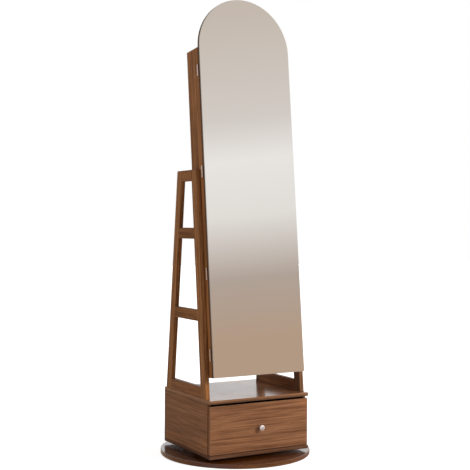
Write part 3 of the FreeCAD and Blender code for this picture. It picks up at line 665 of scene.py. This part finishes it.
def crystal():
    """Foil-backed cut crystal. Its screw is painted on the table as a darker ring, as it would show
    through the glass, the facets of its back are painted darker as dark reflections, and a faint haze of
    dust dulls a few specks."""
    material, wire, shader, place = new_material("cut_crystal")
    scuffs = use_group(wire, SCUFFS, Vector=place, Size=160.0)
    low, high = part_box("knob_crystal")
    middle = (low + high) / 2
    away = wire.vector("SUBTRACT", place, (middle.x, 0.0, middle.z))
    across = wire.vector("MULTIPLY", away, (1.0, 0.0, 1.0))
    radius = wire.vector("LENGTH", across, output="Value")
    outer = wire.spread(radius, KNOB_RING_OUTER, KNOB_RING_OUTER + KNOB_RING_BLUR, 1.0, 0.0)
    inner = wire.spread(radius, KNOB_RING_INNER - KNOB_RING_BLUR, KNOB_RING_INNER)
    dusty = wire.mix(scuffs["Shine"], CRYSTAL_CLEAN, CRYSTAL_HAZY)
    # Painted view of the screw through the table, as a dark ring
    ring = wire.math("MULTIPLY", wire.math("MULTIPLY", outer, inner), CRYSTAL_SHARE)
    # Rear facets painted dark as their reflections
    rear = wire.spread(wire.parts(wire.own_normal())["Y"], *TURNED_FORWARD, high_to=CRYSTAL_SHARE)
    shown = wire.mix(rear, wire.mix(ring, dusty, RING_PAINTED_SCREW), REAR_PAINTED_REFLECTION)
    wire.feed(shader.inputs["Base Color"], shown)
    wire.feed(shader.inputs["Roughness"], wire.math("MULTIPLY", scuffs["Shine"], HAZE_ROUGHNESS))
    shader.inputs["Metallic"].default_value = 0.1
    shader.inputs["Coat Weight"].default_value = 1.0
    shader.inputs["Coat Roughness"].default_value = 0.02
    return material


def acrylic():
    """Clear moulded acrylic, thin enough to see the door through it, with a little haze."""
    material, wire, shader, place = new_material("clear_acrylic")
    scuffs = use_group(wire, SCUFFS, Vector=place, Size=40.0)
    wire.feed(shader.inputs["Roughness"], wire.between(scuffs["Shine"], 0.04, 0.12))
    colour = wire.mix(scuffs["Shine"], (0.80, 0.84, 0.86, 1.0), (0.70, 0.74, 0.76, 1.0))
    wire.feed(shader.inputs["Base Color"], colour)
    wire.feed(shader.inputs["Alpha"], wire.between(scuffs["Shine"], 0.34, 0.44))
    shader.inputs["IOR"].default_value = 1.49
    return material


# Noise values between which a moulded grain shows, and how much rougher its crests are
GRAIN_RANGE = (0.3, 0.7)
GRAIN_ROUGH = 0.15


def plastic(name, dark, light, roughness, size):
    """Moulded plastic or rubber with a fine even grain."""
    material, wire, shader, place = new_material(name)
    scuffs = use_group(wire, SCUFFS, Vector=place, Size=size)
    wire.feed(shader.inputs["Base Color"], wire.mix(scuffs["Shine"], dark, light))
    grain = wire.spread(scuffs["Height"], *GRAIN_RANGE, roughness, roughness + GRAIN_ROUGH)
    wire.feed(shader.inputs["Roughness"], grain)
    bump(wire, shader, scuffs["Height"], strength=0.35, distance=0.0002)
    return material


def paint(material, *names):
    """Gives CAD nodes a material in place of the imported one."""
    for name in names:
        for slot in nodes[name].material_slots:
            slot.material = material


# Boards by the way their grain runs
GRAIN = {
    ALONG_X: ["box_back", "bottom_board"],
    ALONG_Y: ["box_side_left", "box_side_right", "foot_rail_left", "foot_rail_right", "lower_rung_left",
              "lower_rung_right", "upper_rung_left", "upper_rung_right", "top_rail_left", "top_rail_right"],
    LEANING_BACK: ["front_leg_left", "front_leg_right", "cabinet_side_left", "cabinet_side_right",
                   "cabinet_back"],
    LEANING_FORWARD: ["back_leg_left", "back_leg_right"],
    LEANING_X: ["cabinet_top", "cabinet_bottom", "shelf_lower", "shelf_upper", "shelf_rails",
                "necklace_rail"],
}

DARK_VELVET = velvet("dark_velvet", (0.030, 0.024, 0.024, 1.0), (0.056, 0.046, 0.044, 1.0))
CUSHION_VELVET = velvet("cushion_velvet", (0.085, 0.072, 0.066, 1.0), (0.15, 0.13, 0.12, 1.0))


def finish_cad_nodes():
    """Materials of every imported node."""
    index = 0
    for turn, names in GRAIN.items():
        for name in names:
            index += 1
            sheet = next((tones for word, tones in SHEETS.items() if word in name), WALNUT_TONES)
            paint(walnut("walnut_" + name, turn, index, "Z" if turn == ALONG_Y else "Y", sheet), name)
    paint(banded_door(), "door_board")
    paint(banded_front(), "drawer_front")
    paint(polished_top(), "top_board")
    paint(polished_disc(), "base_disc")
    paint(mirror_glass(), "mirror_glass")
    paint(DARK_VELVET, "back_lining", "bracelet_bar")
    paint(drawer_foil(), "drawer_side_left", "drawer_side_right", "drawer_back", "drawer_bottom")
    paint(metal("nickel_plate", (0.80, 0.63, 0.56, 1.0), 0.26, brushed=(1.0, 1.0, 0.06), size=220.0),
          "hinge_cabinet_leaves", "hinge_door_leaves", "hinge_pins", "strike_plate")
    paint(metal("zinc_plate", (0.60, 0.61, 0.63, 1.0), 0.32, size=90.0),
          "turntable_lower_plate", "turntable_upper_plate", "turntable_base_screws", "turntable_box_screws",
          "turntable_balls", "carcase_screws", "runner_channels", "runner_sliders", "runner_cages",
          "runner_balls", "cabinet_bolts", "knob_screw")
    paint(metal("bright_chrome", (0.88, 0.87, 0.87, 1.0), 0.05, size=50.0, strength=0.04),
          "necklace_hooks")
    # Knob collar: chrome painted dark as the shade and dark reflections round the knob's base
    paint(metal("chrome_painted_dark", (0.30, 0.22, 0.18, 1.0), 0.12, size=50.0, strength=0.04), "knob_collar")
    paint(crystal(), "knob_crystal")
    paint(acrylic(), "earring_bars")
    paint(plastic("black_plastic", (0.012, 0.012, 0.013, 1.0), (0.03, 0.03, 0.03, 1.0), roughness=0.42,
                  size=120.0), "magnetic_catch", "cabinet_spacers")
    paint(plastic("pad_rubber", (0.015, 0.015, 0.015, 1.0), (0.05, 0.05, 0.048, 1.0), roughness=0.75,
                  size=200.0), "foot_pads")


def grid_faces(rows, columns, wrap=False):
    """Corner indices of the quads on a grid of points, whose columns wrap round if asked."""
    row = np.arange(rows - 1)
    column = np.arange(columns if wrap else columns - 1)
    r, c = np.meshgrid(row, column, indexing="ij")
    after = (c + 1) % columns
    corners = [r * columns + c, r * columns + after, (r + 1) * columns + after, (r + 1) * columns + c]
    return np.stack(corners, axis=-1).reshape(-1, 4)


# Points that lie closer than this, in metres, are one point
MERGE_REACH = 1e-6


def closed_mesh(name, grids):
    """Mesh of closed surfaces, one for each grid in an array of (copy, row, column, point). The
    columns wrap round, and each end row is one point, so that its double points are merged."""
    copies, rows, columns = grids.shape[:3]
    one = grid_faces(rows, columns, wrap=True)
    faces = one[None] + (np.arange(copies) * rows * columns)[:, None, None]
    mesh = bpy.data.meshes.new(name)
    mesh.from_pydata(grids.reshape(-1, 3).tolist(), [], faces.reshape(-1, 4).tolist())
    work = bmesh.new()
    work.from_mesh(mesh)
    bmesh.ops.remove_doubles(work, verts=work.verts, dist=MERGE_REACH)
    bmesh.ops.recalc_face_normals(work, faces=work.faces)
    work.to_mesh(mesh)
    work.free()
    return mesh


def new_piece(name, mesh, body, material, smooth=True):
    """Object from a finished mesh, riding on a body with its material and slot."""
    mesh.materials.clear()
    mesh.materials.append(material)
    mesh.polygons.foreach_set("use_smooth", np.full(len(mesh.polygons), smooth))
    mesh.update()
    piece = bpy.data.objects.new(name, mesh)
    bpy.context.scene.collection.objects.link(piece)
    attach(piece, body)
    return piece


# The cabinet's upright layout, as it is drawn before it leans: X across, Y the depth behind
# the mirror's face and Z the height above the mirror's lower edge.
UPRIGHT_TURN = np.array([[1.0, 0.0, 0.0],
                         [0.0, math.cos(LEAN), math.sin(LEAN)],
                         [0.0, -math.sin(LEAN), math.cos(LEAN)]])


def mesh_points(mesh):
    """Array of a mesh's points."""
    points = np.empty(len(mesh.vertices) * 3)
    mesh.vertices.foreach_get("co", points)
    return points.reshape(-1, 3)


def node_corners(name):
    """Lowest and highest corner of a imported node, measured square to the lean."""
    turned = mesh_points(nodes[name].data) @ UPRIGHT_TURN
    return turned.min(axis=0), turned.max(axis=0)


glass_low, glass_high = node_corners("mirror_glass")
UPRIGHT_FOOT = np.array([(glass_low[0] + glass_high[0]) / 2, glass_low[1], glass_low[2]])


def upright_box(name):
    """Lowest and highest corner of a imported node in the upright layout."""
    low, high = node_corners(name)
    return low - UPRIGHT_FOOT, high - UPRIGHT_FOOT


def leaned(points):
    """Points of the upright layout, brought to their leaning place."""
    return (points + UPRIGHT_FOOT) @ UPRIGHT_TURN.T


def upright(points):
    """Points in their leaning place, brought back to the upright layout."""
    return points @ UPRIGHT_TURN - UPRIGHT_FOOT


# Gap up the cabinet, in metres, that parts a node's pieces
PIECE_GAP = 0.05


def stacked_middles(name):
    """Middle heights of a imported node's pieces, which stand apart up the cabinet."""
    heights = np.unique(upright(mesh_points(nodes[name].data))[:, 2])
    starts = np.flatnonzero(np.diff(heights) > PIECE_GAP) + 1
    return [(stack.min() + stack.max()) / 2 for stack in np.split(heights, starts)]


# Ring cushion: its rolls, the points up each roll, the share of the depth between a roll's
# crest and the slits beside it, how its ends are drawn in, the room left round it in metres,
# the columns along it and the rows up its flat back
CUSHION_ROLLS = 7
ROLL_POINTS = 14
CUSHION_BULGE = 0.45
END_POWER = 5.0
END_DEPTH = 0.45
CUSHION_SLACK = 0.0014
CUSHION_COLUMNS = 97
CUSHION_BACK_ROWS = 28

# The heart that an end shrinks to lies at this share of the depth, and the rows at each end have
# these shares of the full section
HEART_SHARE = 0.4
END_SHARES = [0.0, 0.6]

# Most that a point may move as the cushion is blown up, in metres, the frames that it takes, and
# the pressure inside
CUSHION_PUFF = 0.0025
PUFF_FRAMES = 20
PUFF_PRESSURE = 4.0


def cushion_grid():
    """Surface of the ring cushion in the upright layout. Up the front each roll is half an
    ellipse, sqrt(1 - (2s - 1)^2), between its slits, and the back is flat. Towards both ends the
    depth shrinks by (1 - |v|^m)^(1/m), and each end closes on one point."""
    low, high = upright_box("ring_cushion")
    low = low + CUSHION_SLACK
    high = high - CUSHION_SLACK
    climb = np.linspace(0.0, CUSHION_ROLLS, CUSHION_ROLLS * ROLL_POINTS + 1)
    front = 1 - CUSHION_BULGE * (1 - np.sqrt(1 - (2 * (climb % 1) - 1) ** 2))
    fall = np.linspace(1.0, 0.0, CUSHION_BACK_ROWS)
    depth = np.concatenate([front, 0.0 * fall])
    height = np.concatenate([climb / CUSHION_ROLLS, fall])
    along = np.sin(np.linspace(-QUARTER, QUARTER, CUSHION_COLUMNS))
    drawn = END_DEPTH + (1 - END_DEPTH) * (1 - np.abs(along) ** END_POWER) ** (1 / END_POWER)
    shrink = np.concatenate([END_SHARES, np.ones(CUSHION_COLUMNS), END_SHARES[::-1]])[:, None]
    drawn = np.pad(drawn, len(END_SHARES), mode="edge")[:, None]
    along = np.pad(along, len(END_SHARES), mode="edge")[:, None]
    heart = drawn * HEART_SHARE
    section_depth = heart + (drawn * depth - heart) * shrink
    section_height = 0.5 + (height - 0.5) * shrink
    x = (low[0] + high[0]) / 2 + (high[0] - low[0]) / 2 * along + 0 * section_depth
    y = high[1] - (high[1] - low[1]) * section_depth
    z = low[2] + (high[2] - low[2]) * section_height
    return np.stack([x, y, z], axis=-1)


def puffed(piece, seam_depth):
    """Blows a cushion up as cloth with pressure inside, held in the slits between its rolls and
    at its back. The move of each point is capped."""
    start = mesh_points(piece.data)
    held = piece.vertex_groups.new(name="seams")
    held.add(np.flatnonzero(upright(start)[:, 1] > seam_depth).tolist(), 1.0, "REPLACE")
    cloth = piece.modifiers.new("puff", "CLOTH")
    cloth.settings.vertex_group_mass = "seams"
    cloth.settings.use_pressure = True
    cloth.settings.uniform_pressure_force = PUFF_PRESSURE
    cloth.settings.effector_weights.gravity = 0.0
    cloth.point_cache.frame_end = PUFF_FRAMES
    for frame_number in range(1, PUFF_FRAMES + 1):
        bpy.context.scene.frame_set(frame_number)
    blown = bpy.data.meshes.new_from_object(piece.evaluated_get(bpy.context.evaluated_depsgraph_get()))
    move = mesh_points(blown) - start
    reach = np.maximum(np.linalg.norm(move, axis=1), MERGE_REACH)
    move *= (np.minimum(reach, CUSHION_PUFF) / reach)[:, None]
    piece.modifiers.remove(cloth)
    piece.vertex_groups.clear()
    bpy.context.scene.frame_set(1)
    bpy.data.meshes.remove(blown)
    piece.data.vertices.foreach_set("co", (start + move).ravel())


def make_ring_cushion():
    """Soft rolls of velvet that hold rings between them."""
    low, high = upright_box("ring_cushion")
    mesh = closed_mesh("velvet_ring_cushion", leaned(cushion_grid())[None])
    piece = new_piece("velvet_ring_cushion", mesh, "carcase", CUSHION_VELVET)
    slit = low[1] + (high[1] - low[1]) * CUSHION_BULGE
    puffed(piece, slit - CUSHION_SLACK)
    inside = np.clip(upright(mesh_points(mesh)), low + MERGE_REACH, high - MERGE_REACH)
    mesh.vertices.foreach_set("co", leaned(inside).ravel())
    mesh.update()
    rounder = piece.modifiers.new("rounder", "SUBSURF")
    rounder.levels = 1
    rounder.render_levels = 1
    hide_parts("ring_cushion")


# Hinge screws: the leaf's sheet, each screw's way up or down from the hinge's middle, the head
# and its cross, the distance in from the leaf's outer end, how far the head stands proud, how
# deep the cross is, how it fades across an arm and tapers along it, and its turn in radians from
# hinge to hinge and from side to side
LEAF_SHEET = 0.001
SCREW_OFFSET = 0.0125
SCREW_RADIUS = 0.0026
CROSS_REACH = 0.0016
CROSS_HALF = 0.0004
CABINET_SCREW_INSET = 0.006
DOOR_SCREW_INSET = 0.005
FLUSH_PROUD = 0.00009
PLAIN_PROUD = 0.0006
CROSS_DEPTH = 0.85
CROSS_FADE = 1.5
CROSS_TAPER = 0.5
HINGE_TURN = 0.7
SIDE_TURN = 0.4

# Rows of points from a head's edge to its crown, and points round a head
HEAD_ROWS = 15
HEAD_TURNS = 48


def screw_head(proud, turn):
    """Cross-head screw's head standing on z = 0, as rows of points from its foot to its crown.
    The height is a dome p (1 - r^2 / 2) less the cross, which is where one of x and y is small
    and the other within reach; the first row is one point below, so that the head is closed."""
    share = np.concatenate([[0.0, 1.0], np.linspace(1.0, 0.0, HEAD_ROWS)])[:, None]
    angle = np.linspace(0.0, 2 * math.pi, HEAD_TURNS, endpoint=False)[None]
    x = SCREW_RADIUS * share * np.cos(angle)
    y = SCREW_RADIUS * share * np.sin(angle)
    along = x * math.cos(turn) + y * math.sin(turn)
    across = y * math.cos(turn) - x * math.sin(turn)
    least = np.minimum(np.abs(along), np.abs(across))
    most = np.maximum(np.abs(along), np.abs(across))
    cut = np.clip(CROSS_FADE - least / CROSS_HALF, 0.0, 1.0)
    cut *= np.clip(CROSS_FADE - CROSS_TAPER * most / CROSS_REACH, 0.0, 1.0)
    cut *= most < CROSS_REACH
    height = proud * (1 - share ** 2 / 2) * (1 - CROSS_DEPTH * cut)
    height[:2] = 0.0
    return np.stack([x, y, height + 0 * x], axis=-1)


def make_hinge_screws():
    """Two cross-head screws in each leaf, as the cabinet's and as the door's."""
    steel = metal("screw_steel", (0.66, 0.62, 0.58, 1.0), 0.24, size=300.0, strength=0.05)
    cabinet_x = upright_box("hinge_cabinet_leaves")[1][0] - CABINET_SCREW_INSET
    cabinet_face = upright_box("cabinet_side_left")[0][1] - LEAF_SHEET
    door_x = upright_box("hinge_door_leaves")[1][0] - DOOR_SCREW_INSET
    door_face = upright_box("door_board")[1][1] + LEAF_SHEET
    kinds = [("cabinet_hinge_screws", "carcase", cabinet_x, cabinet_face, -1.0, FLUSH_PROUD),
             ("door_hinge_screws", "door", door_x, door_face, 1.0, PLAIN_PROUD)]
    for name, body, x, depth, way, proud in kinds:
        heads = []
        for index, middle in enumerate(stacked_middles("hinge_pins")):
            for side in (-1, 1):
                head = screw_head(proud, HINGE_TURN * index + SIDE_TURN * side)
                place = np.array([x, depth, middle + side * SCREW_OFFSET])
                heads.append(place + np.stack([head[..., 0], way * head[..., 2], head[..., 1]], axis=-1))
        new_piece(name, closed_mesh(name, leaned(np.array(heads))), body, steel)


# Bolts that hold the cabinet on the legs: a low head with a hexagon socket, and shares of the
# head's radius and height along its rounded shoulder
BOLT_HEAD_RADIUS = 0.006
BOLT_HEAD_HEIGHT = 0.0025
BOLT_SHANK_RADIUS = 0.003
SOCKET_HALF = 0.002
SOCKET_DEPTH = 0.0018
SHOULDER = [(0.7, 1.0), (0.93, 0.85), (1.0, 0.5)]


def socket_bolt(length):
    """Bolt turned about X, its head below x = 0 and its shank above: rows of (radius, x) whose
    two socket rows follow a hexagon, with the radius h / cos(a) within 30 degrees of each flat."""
    head, shank = BOLT_HEAD_RADIUS, BOLT_SHANK_RADIUS
    top = -BOLT_HEAD_HEIGHT
    floor = top + SOCKET_DEPTH
    shoulder = [(head * across, top * up) for across, up in SHOULDER]
    rows = [(0, floor), ("hex", floor), ("hex", top), *shoulder, (head, 0), (shank, 0),
            (shank, length), (0, length)]
    angle = np.linspace(0.0, 2 * math.pi, HEAD_TURNS, endpoint=False)
    sixth = math.pi / 3
    hexagon = SOCKET_HALF / np.cos((angle + sixth / 2) % sixth - sixth / 2)
    radii = np.array([hexagon if radius == "hex" else np.full(HEAD_TURNS, radius) for radius, x in rows])
    places = np.array([x for radius, x in rows])[:, None] + 0 * radii
    return np.stack([places, radii * np.cos(angle), radii * np.sin(angle)], axis=-1)


def make_bolts():
    """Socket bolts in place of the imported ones."""
    low, high = upright_box("cabinet_bolts")
    face = upright_box("cabinet_side_right")[0][0]
    bolt = socket_bolt(high[0] - face)
    depth = (low[1] + high[1]) / 2
    bolts = []
    for height in stacked_middles("cabinet_bolts"):
        for side in (-1.0, 1.0):
            place = np.array([side * face, depth, height])
            bolts.append(place + bolt * np.array([side, 1.0, 1.0]))
    steel = metal("bolt_steel", (0.58, 0.58, 0.60, 1.0), 0.28, size=200.0, strength=0.05)
    piece = new_piece("socket_bolts", closed_mesh("socket_bolts", leaned(np.array(bolts))), "carcase",
                      steel, smooth=False)
    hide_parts("cabinet_bolts")


# Stage and light. The wall's turns are about Z, from the way that the mirror faces: it runs
# from the right round the front and the left to the left rear, where it is darker.
WALL_RADIUS = 4.5
WALL_HEIGHT = 5.5
WALL_RIGHT = math.radians(-100)
WALL_REAR = math.radians(168)
WALL_COLUMNS = 97

# The wall's screen colours at heights in metres
WALL_TONES = [(0.7, (184, 158, 136)), (1.2, (182, 167, 156)), (1.7, (231, 227, 222)),
              (2.15, (239, 235, 231)), (2.5, (216, 209, 203)), (3.4, (203, 191, 180))]

# The wall darkens to this share between two places behind the mirror
REAR_SHADE = 0.3
REAR_FROM, REAR_TO = 0.5, 2.5

# The floor: its warm tone in reflections, its two pale tones and their changes in a metre, its
# size, and its glow to the camera from near to far
WARM_FLOOR = (176, 152, 131)
FLOOR_DARK = (0.86, 0.86, 0.86, 1.0)
FLOOR_LIGHT = (0.9, 0.9, 0.9, 1.0)
SPECKLE_RATE = 300.0
FLOOR_SIZE = 30.0
FLOOR_NEAR, FLOOR_FAR = 0.5, 3.0
GLOW_NEAR, GLOW_FAR = 0.74, 1.1

# White surroundings: their strength as light
WHITE = (1.0, 1.0, 1.0, 1.0)
AMBIENT = 0.26


def glow_material(name):
    """Plain emission, with its wiring and its shader."""
    material = bpy.data.materials.new(name)
    material.use_nodes = True
    material.node_tree.nodes.clear()
    wire = Wiring(material.node_tree)
    glow = wire.node("Emission")
    wire.feed(wire.node("OutputMaterial").inputs["Surface"], glow.outputs[0])
    return material, wire, glow


def make_wall():
    """Plain warm wall round the mirror, which only reflections see: part of a cylinder."""
    turn = np.linspace(WALL_RIGHT, WALL_REAR, WALL_COLUMNS)[:, None]
    height = np.linspace(0.0, WALL_HEIGHT, 2)[None, :]
    points = np.stack([-WALL_RADIUS * np.sin(turn) + 0 * height, -WALL_RADIUS * np.cos(turn) + 0 * height,
                       height + 0 * turn], axis=-1)
    mesh = bpy.data.meshes.new("room_wall")
    mesh.from_pydata(points.reshape(-1, 3).tolist(), [], grid_faces(*points.shape[:2]).tolist())
    material, wire, glow = glow_material("warm_wall")
    place = wire.parts(wire.node("TexCoord").outputs["Object"])
    ramp = wire.node("ValToRGB")
    wire.feed(ramp.inputs[0], wire.math("DIVIDE", place["Z"], WALL_HEIGHT))
    stops = ramp.color_ramp.elements
    while len(stops) < len(WALL_TONES):
        stops.new(0.5)
    for stop, (level, tone) in zip(stops, WALL_TONES):
        stop.position = level / WALL_HEIGHT
        stop.color = linear(*tone)
    wire.feed(glow.inputs["Color"], ramp.outputs[0])
    wire.feed(glow.inputs["Strength"], wire.spread(place["Y"], REAR_FROM, REAR_TO, 1.0, REAR_SHADE))
    mesh.materials.append(material)
    wall = bpy.data.objects.new("room_wall", mesh)
    bpy.context.scene.collection.objects.link(wall)
    for sense in ("camera", "diffuse", "shadow", "transmission"):
        setattr(wall, "visible_" + sense, False)


def make_floor():
    """Plain pale floor. To the camera it is self-lit, so that it runs into the white background;
    in the mirror and other glossy faces it is a warm floor."""
    half = FLOOR_SIZE / 2
    corners = [(-half, -half, 0), (half, -half, 0), (half, half, 0), (-half, half, 0)]
    mesh = bpy.data.meshes.new("floor")
    mesh.from_pydata(corners, [], [(0, 1, 2, 3)])
    material, wire, shader, place = new_material("pale_floor")
    speckle = wire.noise(place, scale=SPECKLE_RATE)
    wire.feed(shader.inputs["Base Color"], wire.mix(speckle, FLOOR_DARK, FLOOR_LIGHT))
    shader.inputs["Roughness"].default_value = 0.9
    shader.inputs["Emission Color"].default_value = WHITE
    reach = wire.vector("LENGTH", place, output="Value")
    light_path = wire.node("LightPath")
    glow = wire.spread(reach, FLOOR_NEAR, FLOOR_FAR, GLOW_NEAR, GLOW_FAR)
    seen = wire.math("MULTIPLY", glow, light_path.outputs["Is Camera Ray"])
    wire.feed(shader.inputs["Emission Strength"], seen)
    warm = wire.node("Emission")
    warm.inputs["Color"].default_value = linear(*WARM_FLOOR)
    mix = wire.node("MixShader")
    wire.feed(mix.inputs[0], light_path.outputs["Is Glossy Ray"])
    wire.feed(mix.inputs[1], shader.outputs[0])
    wire.feed(mix.inputs[2], warm.outputs[0])
    wire.feed(material.node_tree.nodes["Material Output"].inputs["Surface"], mix.outputs[0])
    mesh.materials.append(material)
    floor = bpy.data.objects.new("floor", mesh)
    bpy.context.scene.collection.objects.link(floor)


def softbox(name, place, aim, size, power):
    """Large soft area light aimed at a point."""
    light = bpy.data.lights.new(name, "AREA")
    light.shape = "DISK"
    light.size = size
    light.energy = power
    lamp = bpy.data.objects.new(name, light)
    lamp.location = place
    lamp.rotation_euler = (Vector(aim) - Vector(place)).to_track_quat("-Z", "Y").to_euler()
    lamp.visible_glossy = False
    bpy.context.scene.collection.objects.link(lamp)


def make_light():
    """White surroundings, plain white to the camera and softer as light, and two softboxes."""
    world = bpy.data.worlds.new("studio")
    world.use_nodes = True
    bpy.context.scene.world = world
    world.node_tree.nodes.clear()
    wire = Wiring(world.node_tree)
    seen = wire.node("Background")
    seen.inputs["Color"].default_value = WHITE
    seen.inputs["Strength"].default_value = 1.0
    lit = wire.node("Background")
    lit.inputs["Color"].default_value = WHITE
    lit.inputs["Strength"].default_value = AMBIENT
    mix = wire.node("MixShader")
    wire.feed(mix.inputs[0], wire.node("LightPath").outputs["Is Diffuse Ray"])
    wire.feed(mix.inputs[1], seen.outputs[0])
    wire.feed(mix.inputs[2], lit.outputs[0])
    wire.feed(wire.node("OutputWorld").inputs["Surface"], mix.outputs[0])
    softbox("key_softbox", place=(2.4, -3.4, 2.4), aim=(0, 0, 0.7), size=2.0, power=175.0)
    softbox("fill_softbox", place=(-3.4, -0.8, 1.6), aim=(0, 0, 0.6), size=1.8, power=22.0)


def make_camera():
    """Camera at the photograph's place: it looks along yaw from +Y towards +X, then pitch and roll."""
    yaw, pitch, roll = (math.radians(angle) for angle in (CAMERA_YAW, CAMERA_PITCH, CAMERA_ROLL))
    forward = Vector((math.sin(yaw) * math.cos(pitch), math.cos(yaw) * math.cos(pitch), math.sin(pitch)))
    level = Vector((math.cos(yaw), -math.sin(yaw), 0.0))
    upward = level.cross(forward)
    right = math.cos(roll) * level + math.sin(roll) * upward
    up = math.cos(roll) * upward - math.sin(roll) * level
    lens = bpy.data.cameras.new("photo_view")
    lens.lens = LENS_MM
    lens.sensor_width = SENSOR_MM
    camera = bpy.data.objects.new("photo_view", lens)
    turn = Matrix((right, up, -forward)).transposed().to_4x4()
    camera.matrix_world = Matrix.Translation(CAMERA_PLACE) @ turn
    bpy.context.scene.collection.objects.link(camera)
    bpy.context.scene.camera = camera
    bpy.context.scene.view_settings.view_transform = "Standard"


make_camera()
make_light()
make_wall()
make_floor()
finish_cad_nodes()
make_ring_cushion()
make_hinge_screws()
make_bolts()
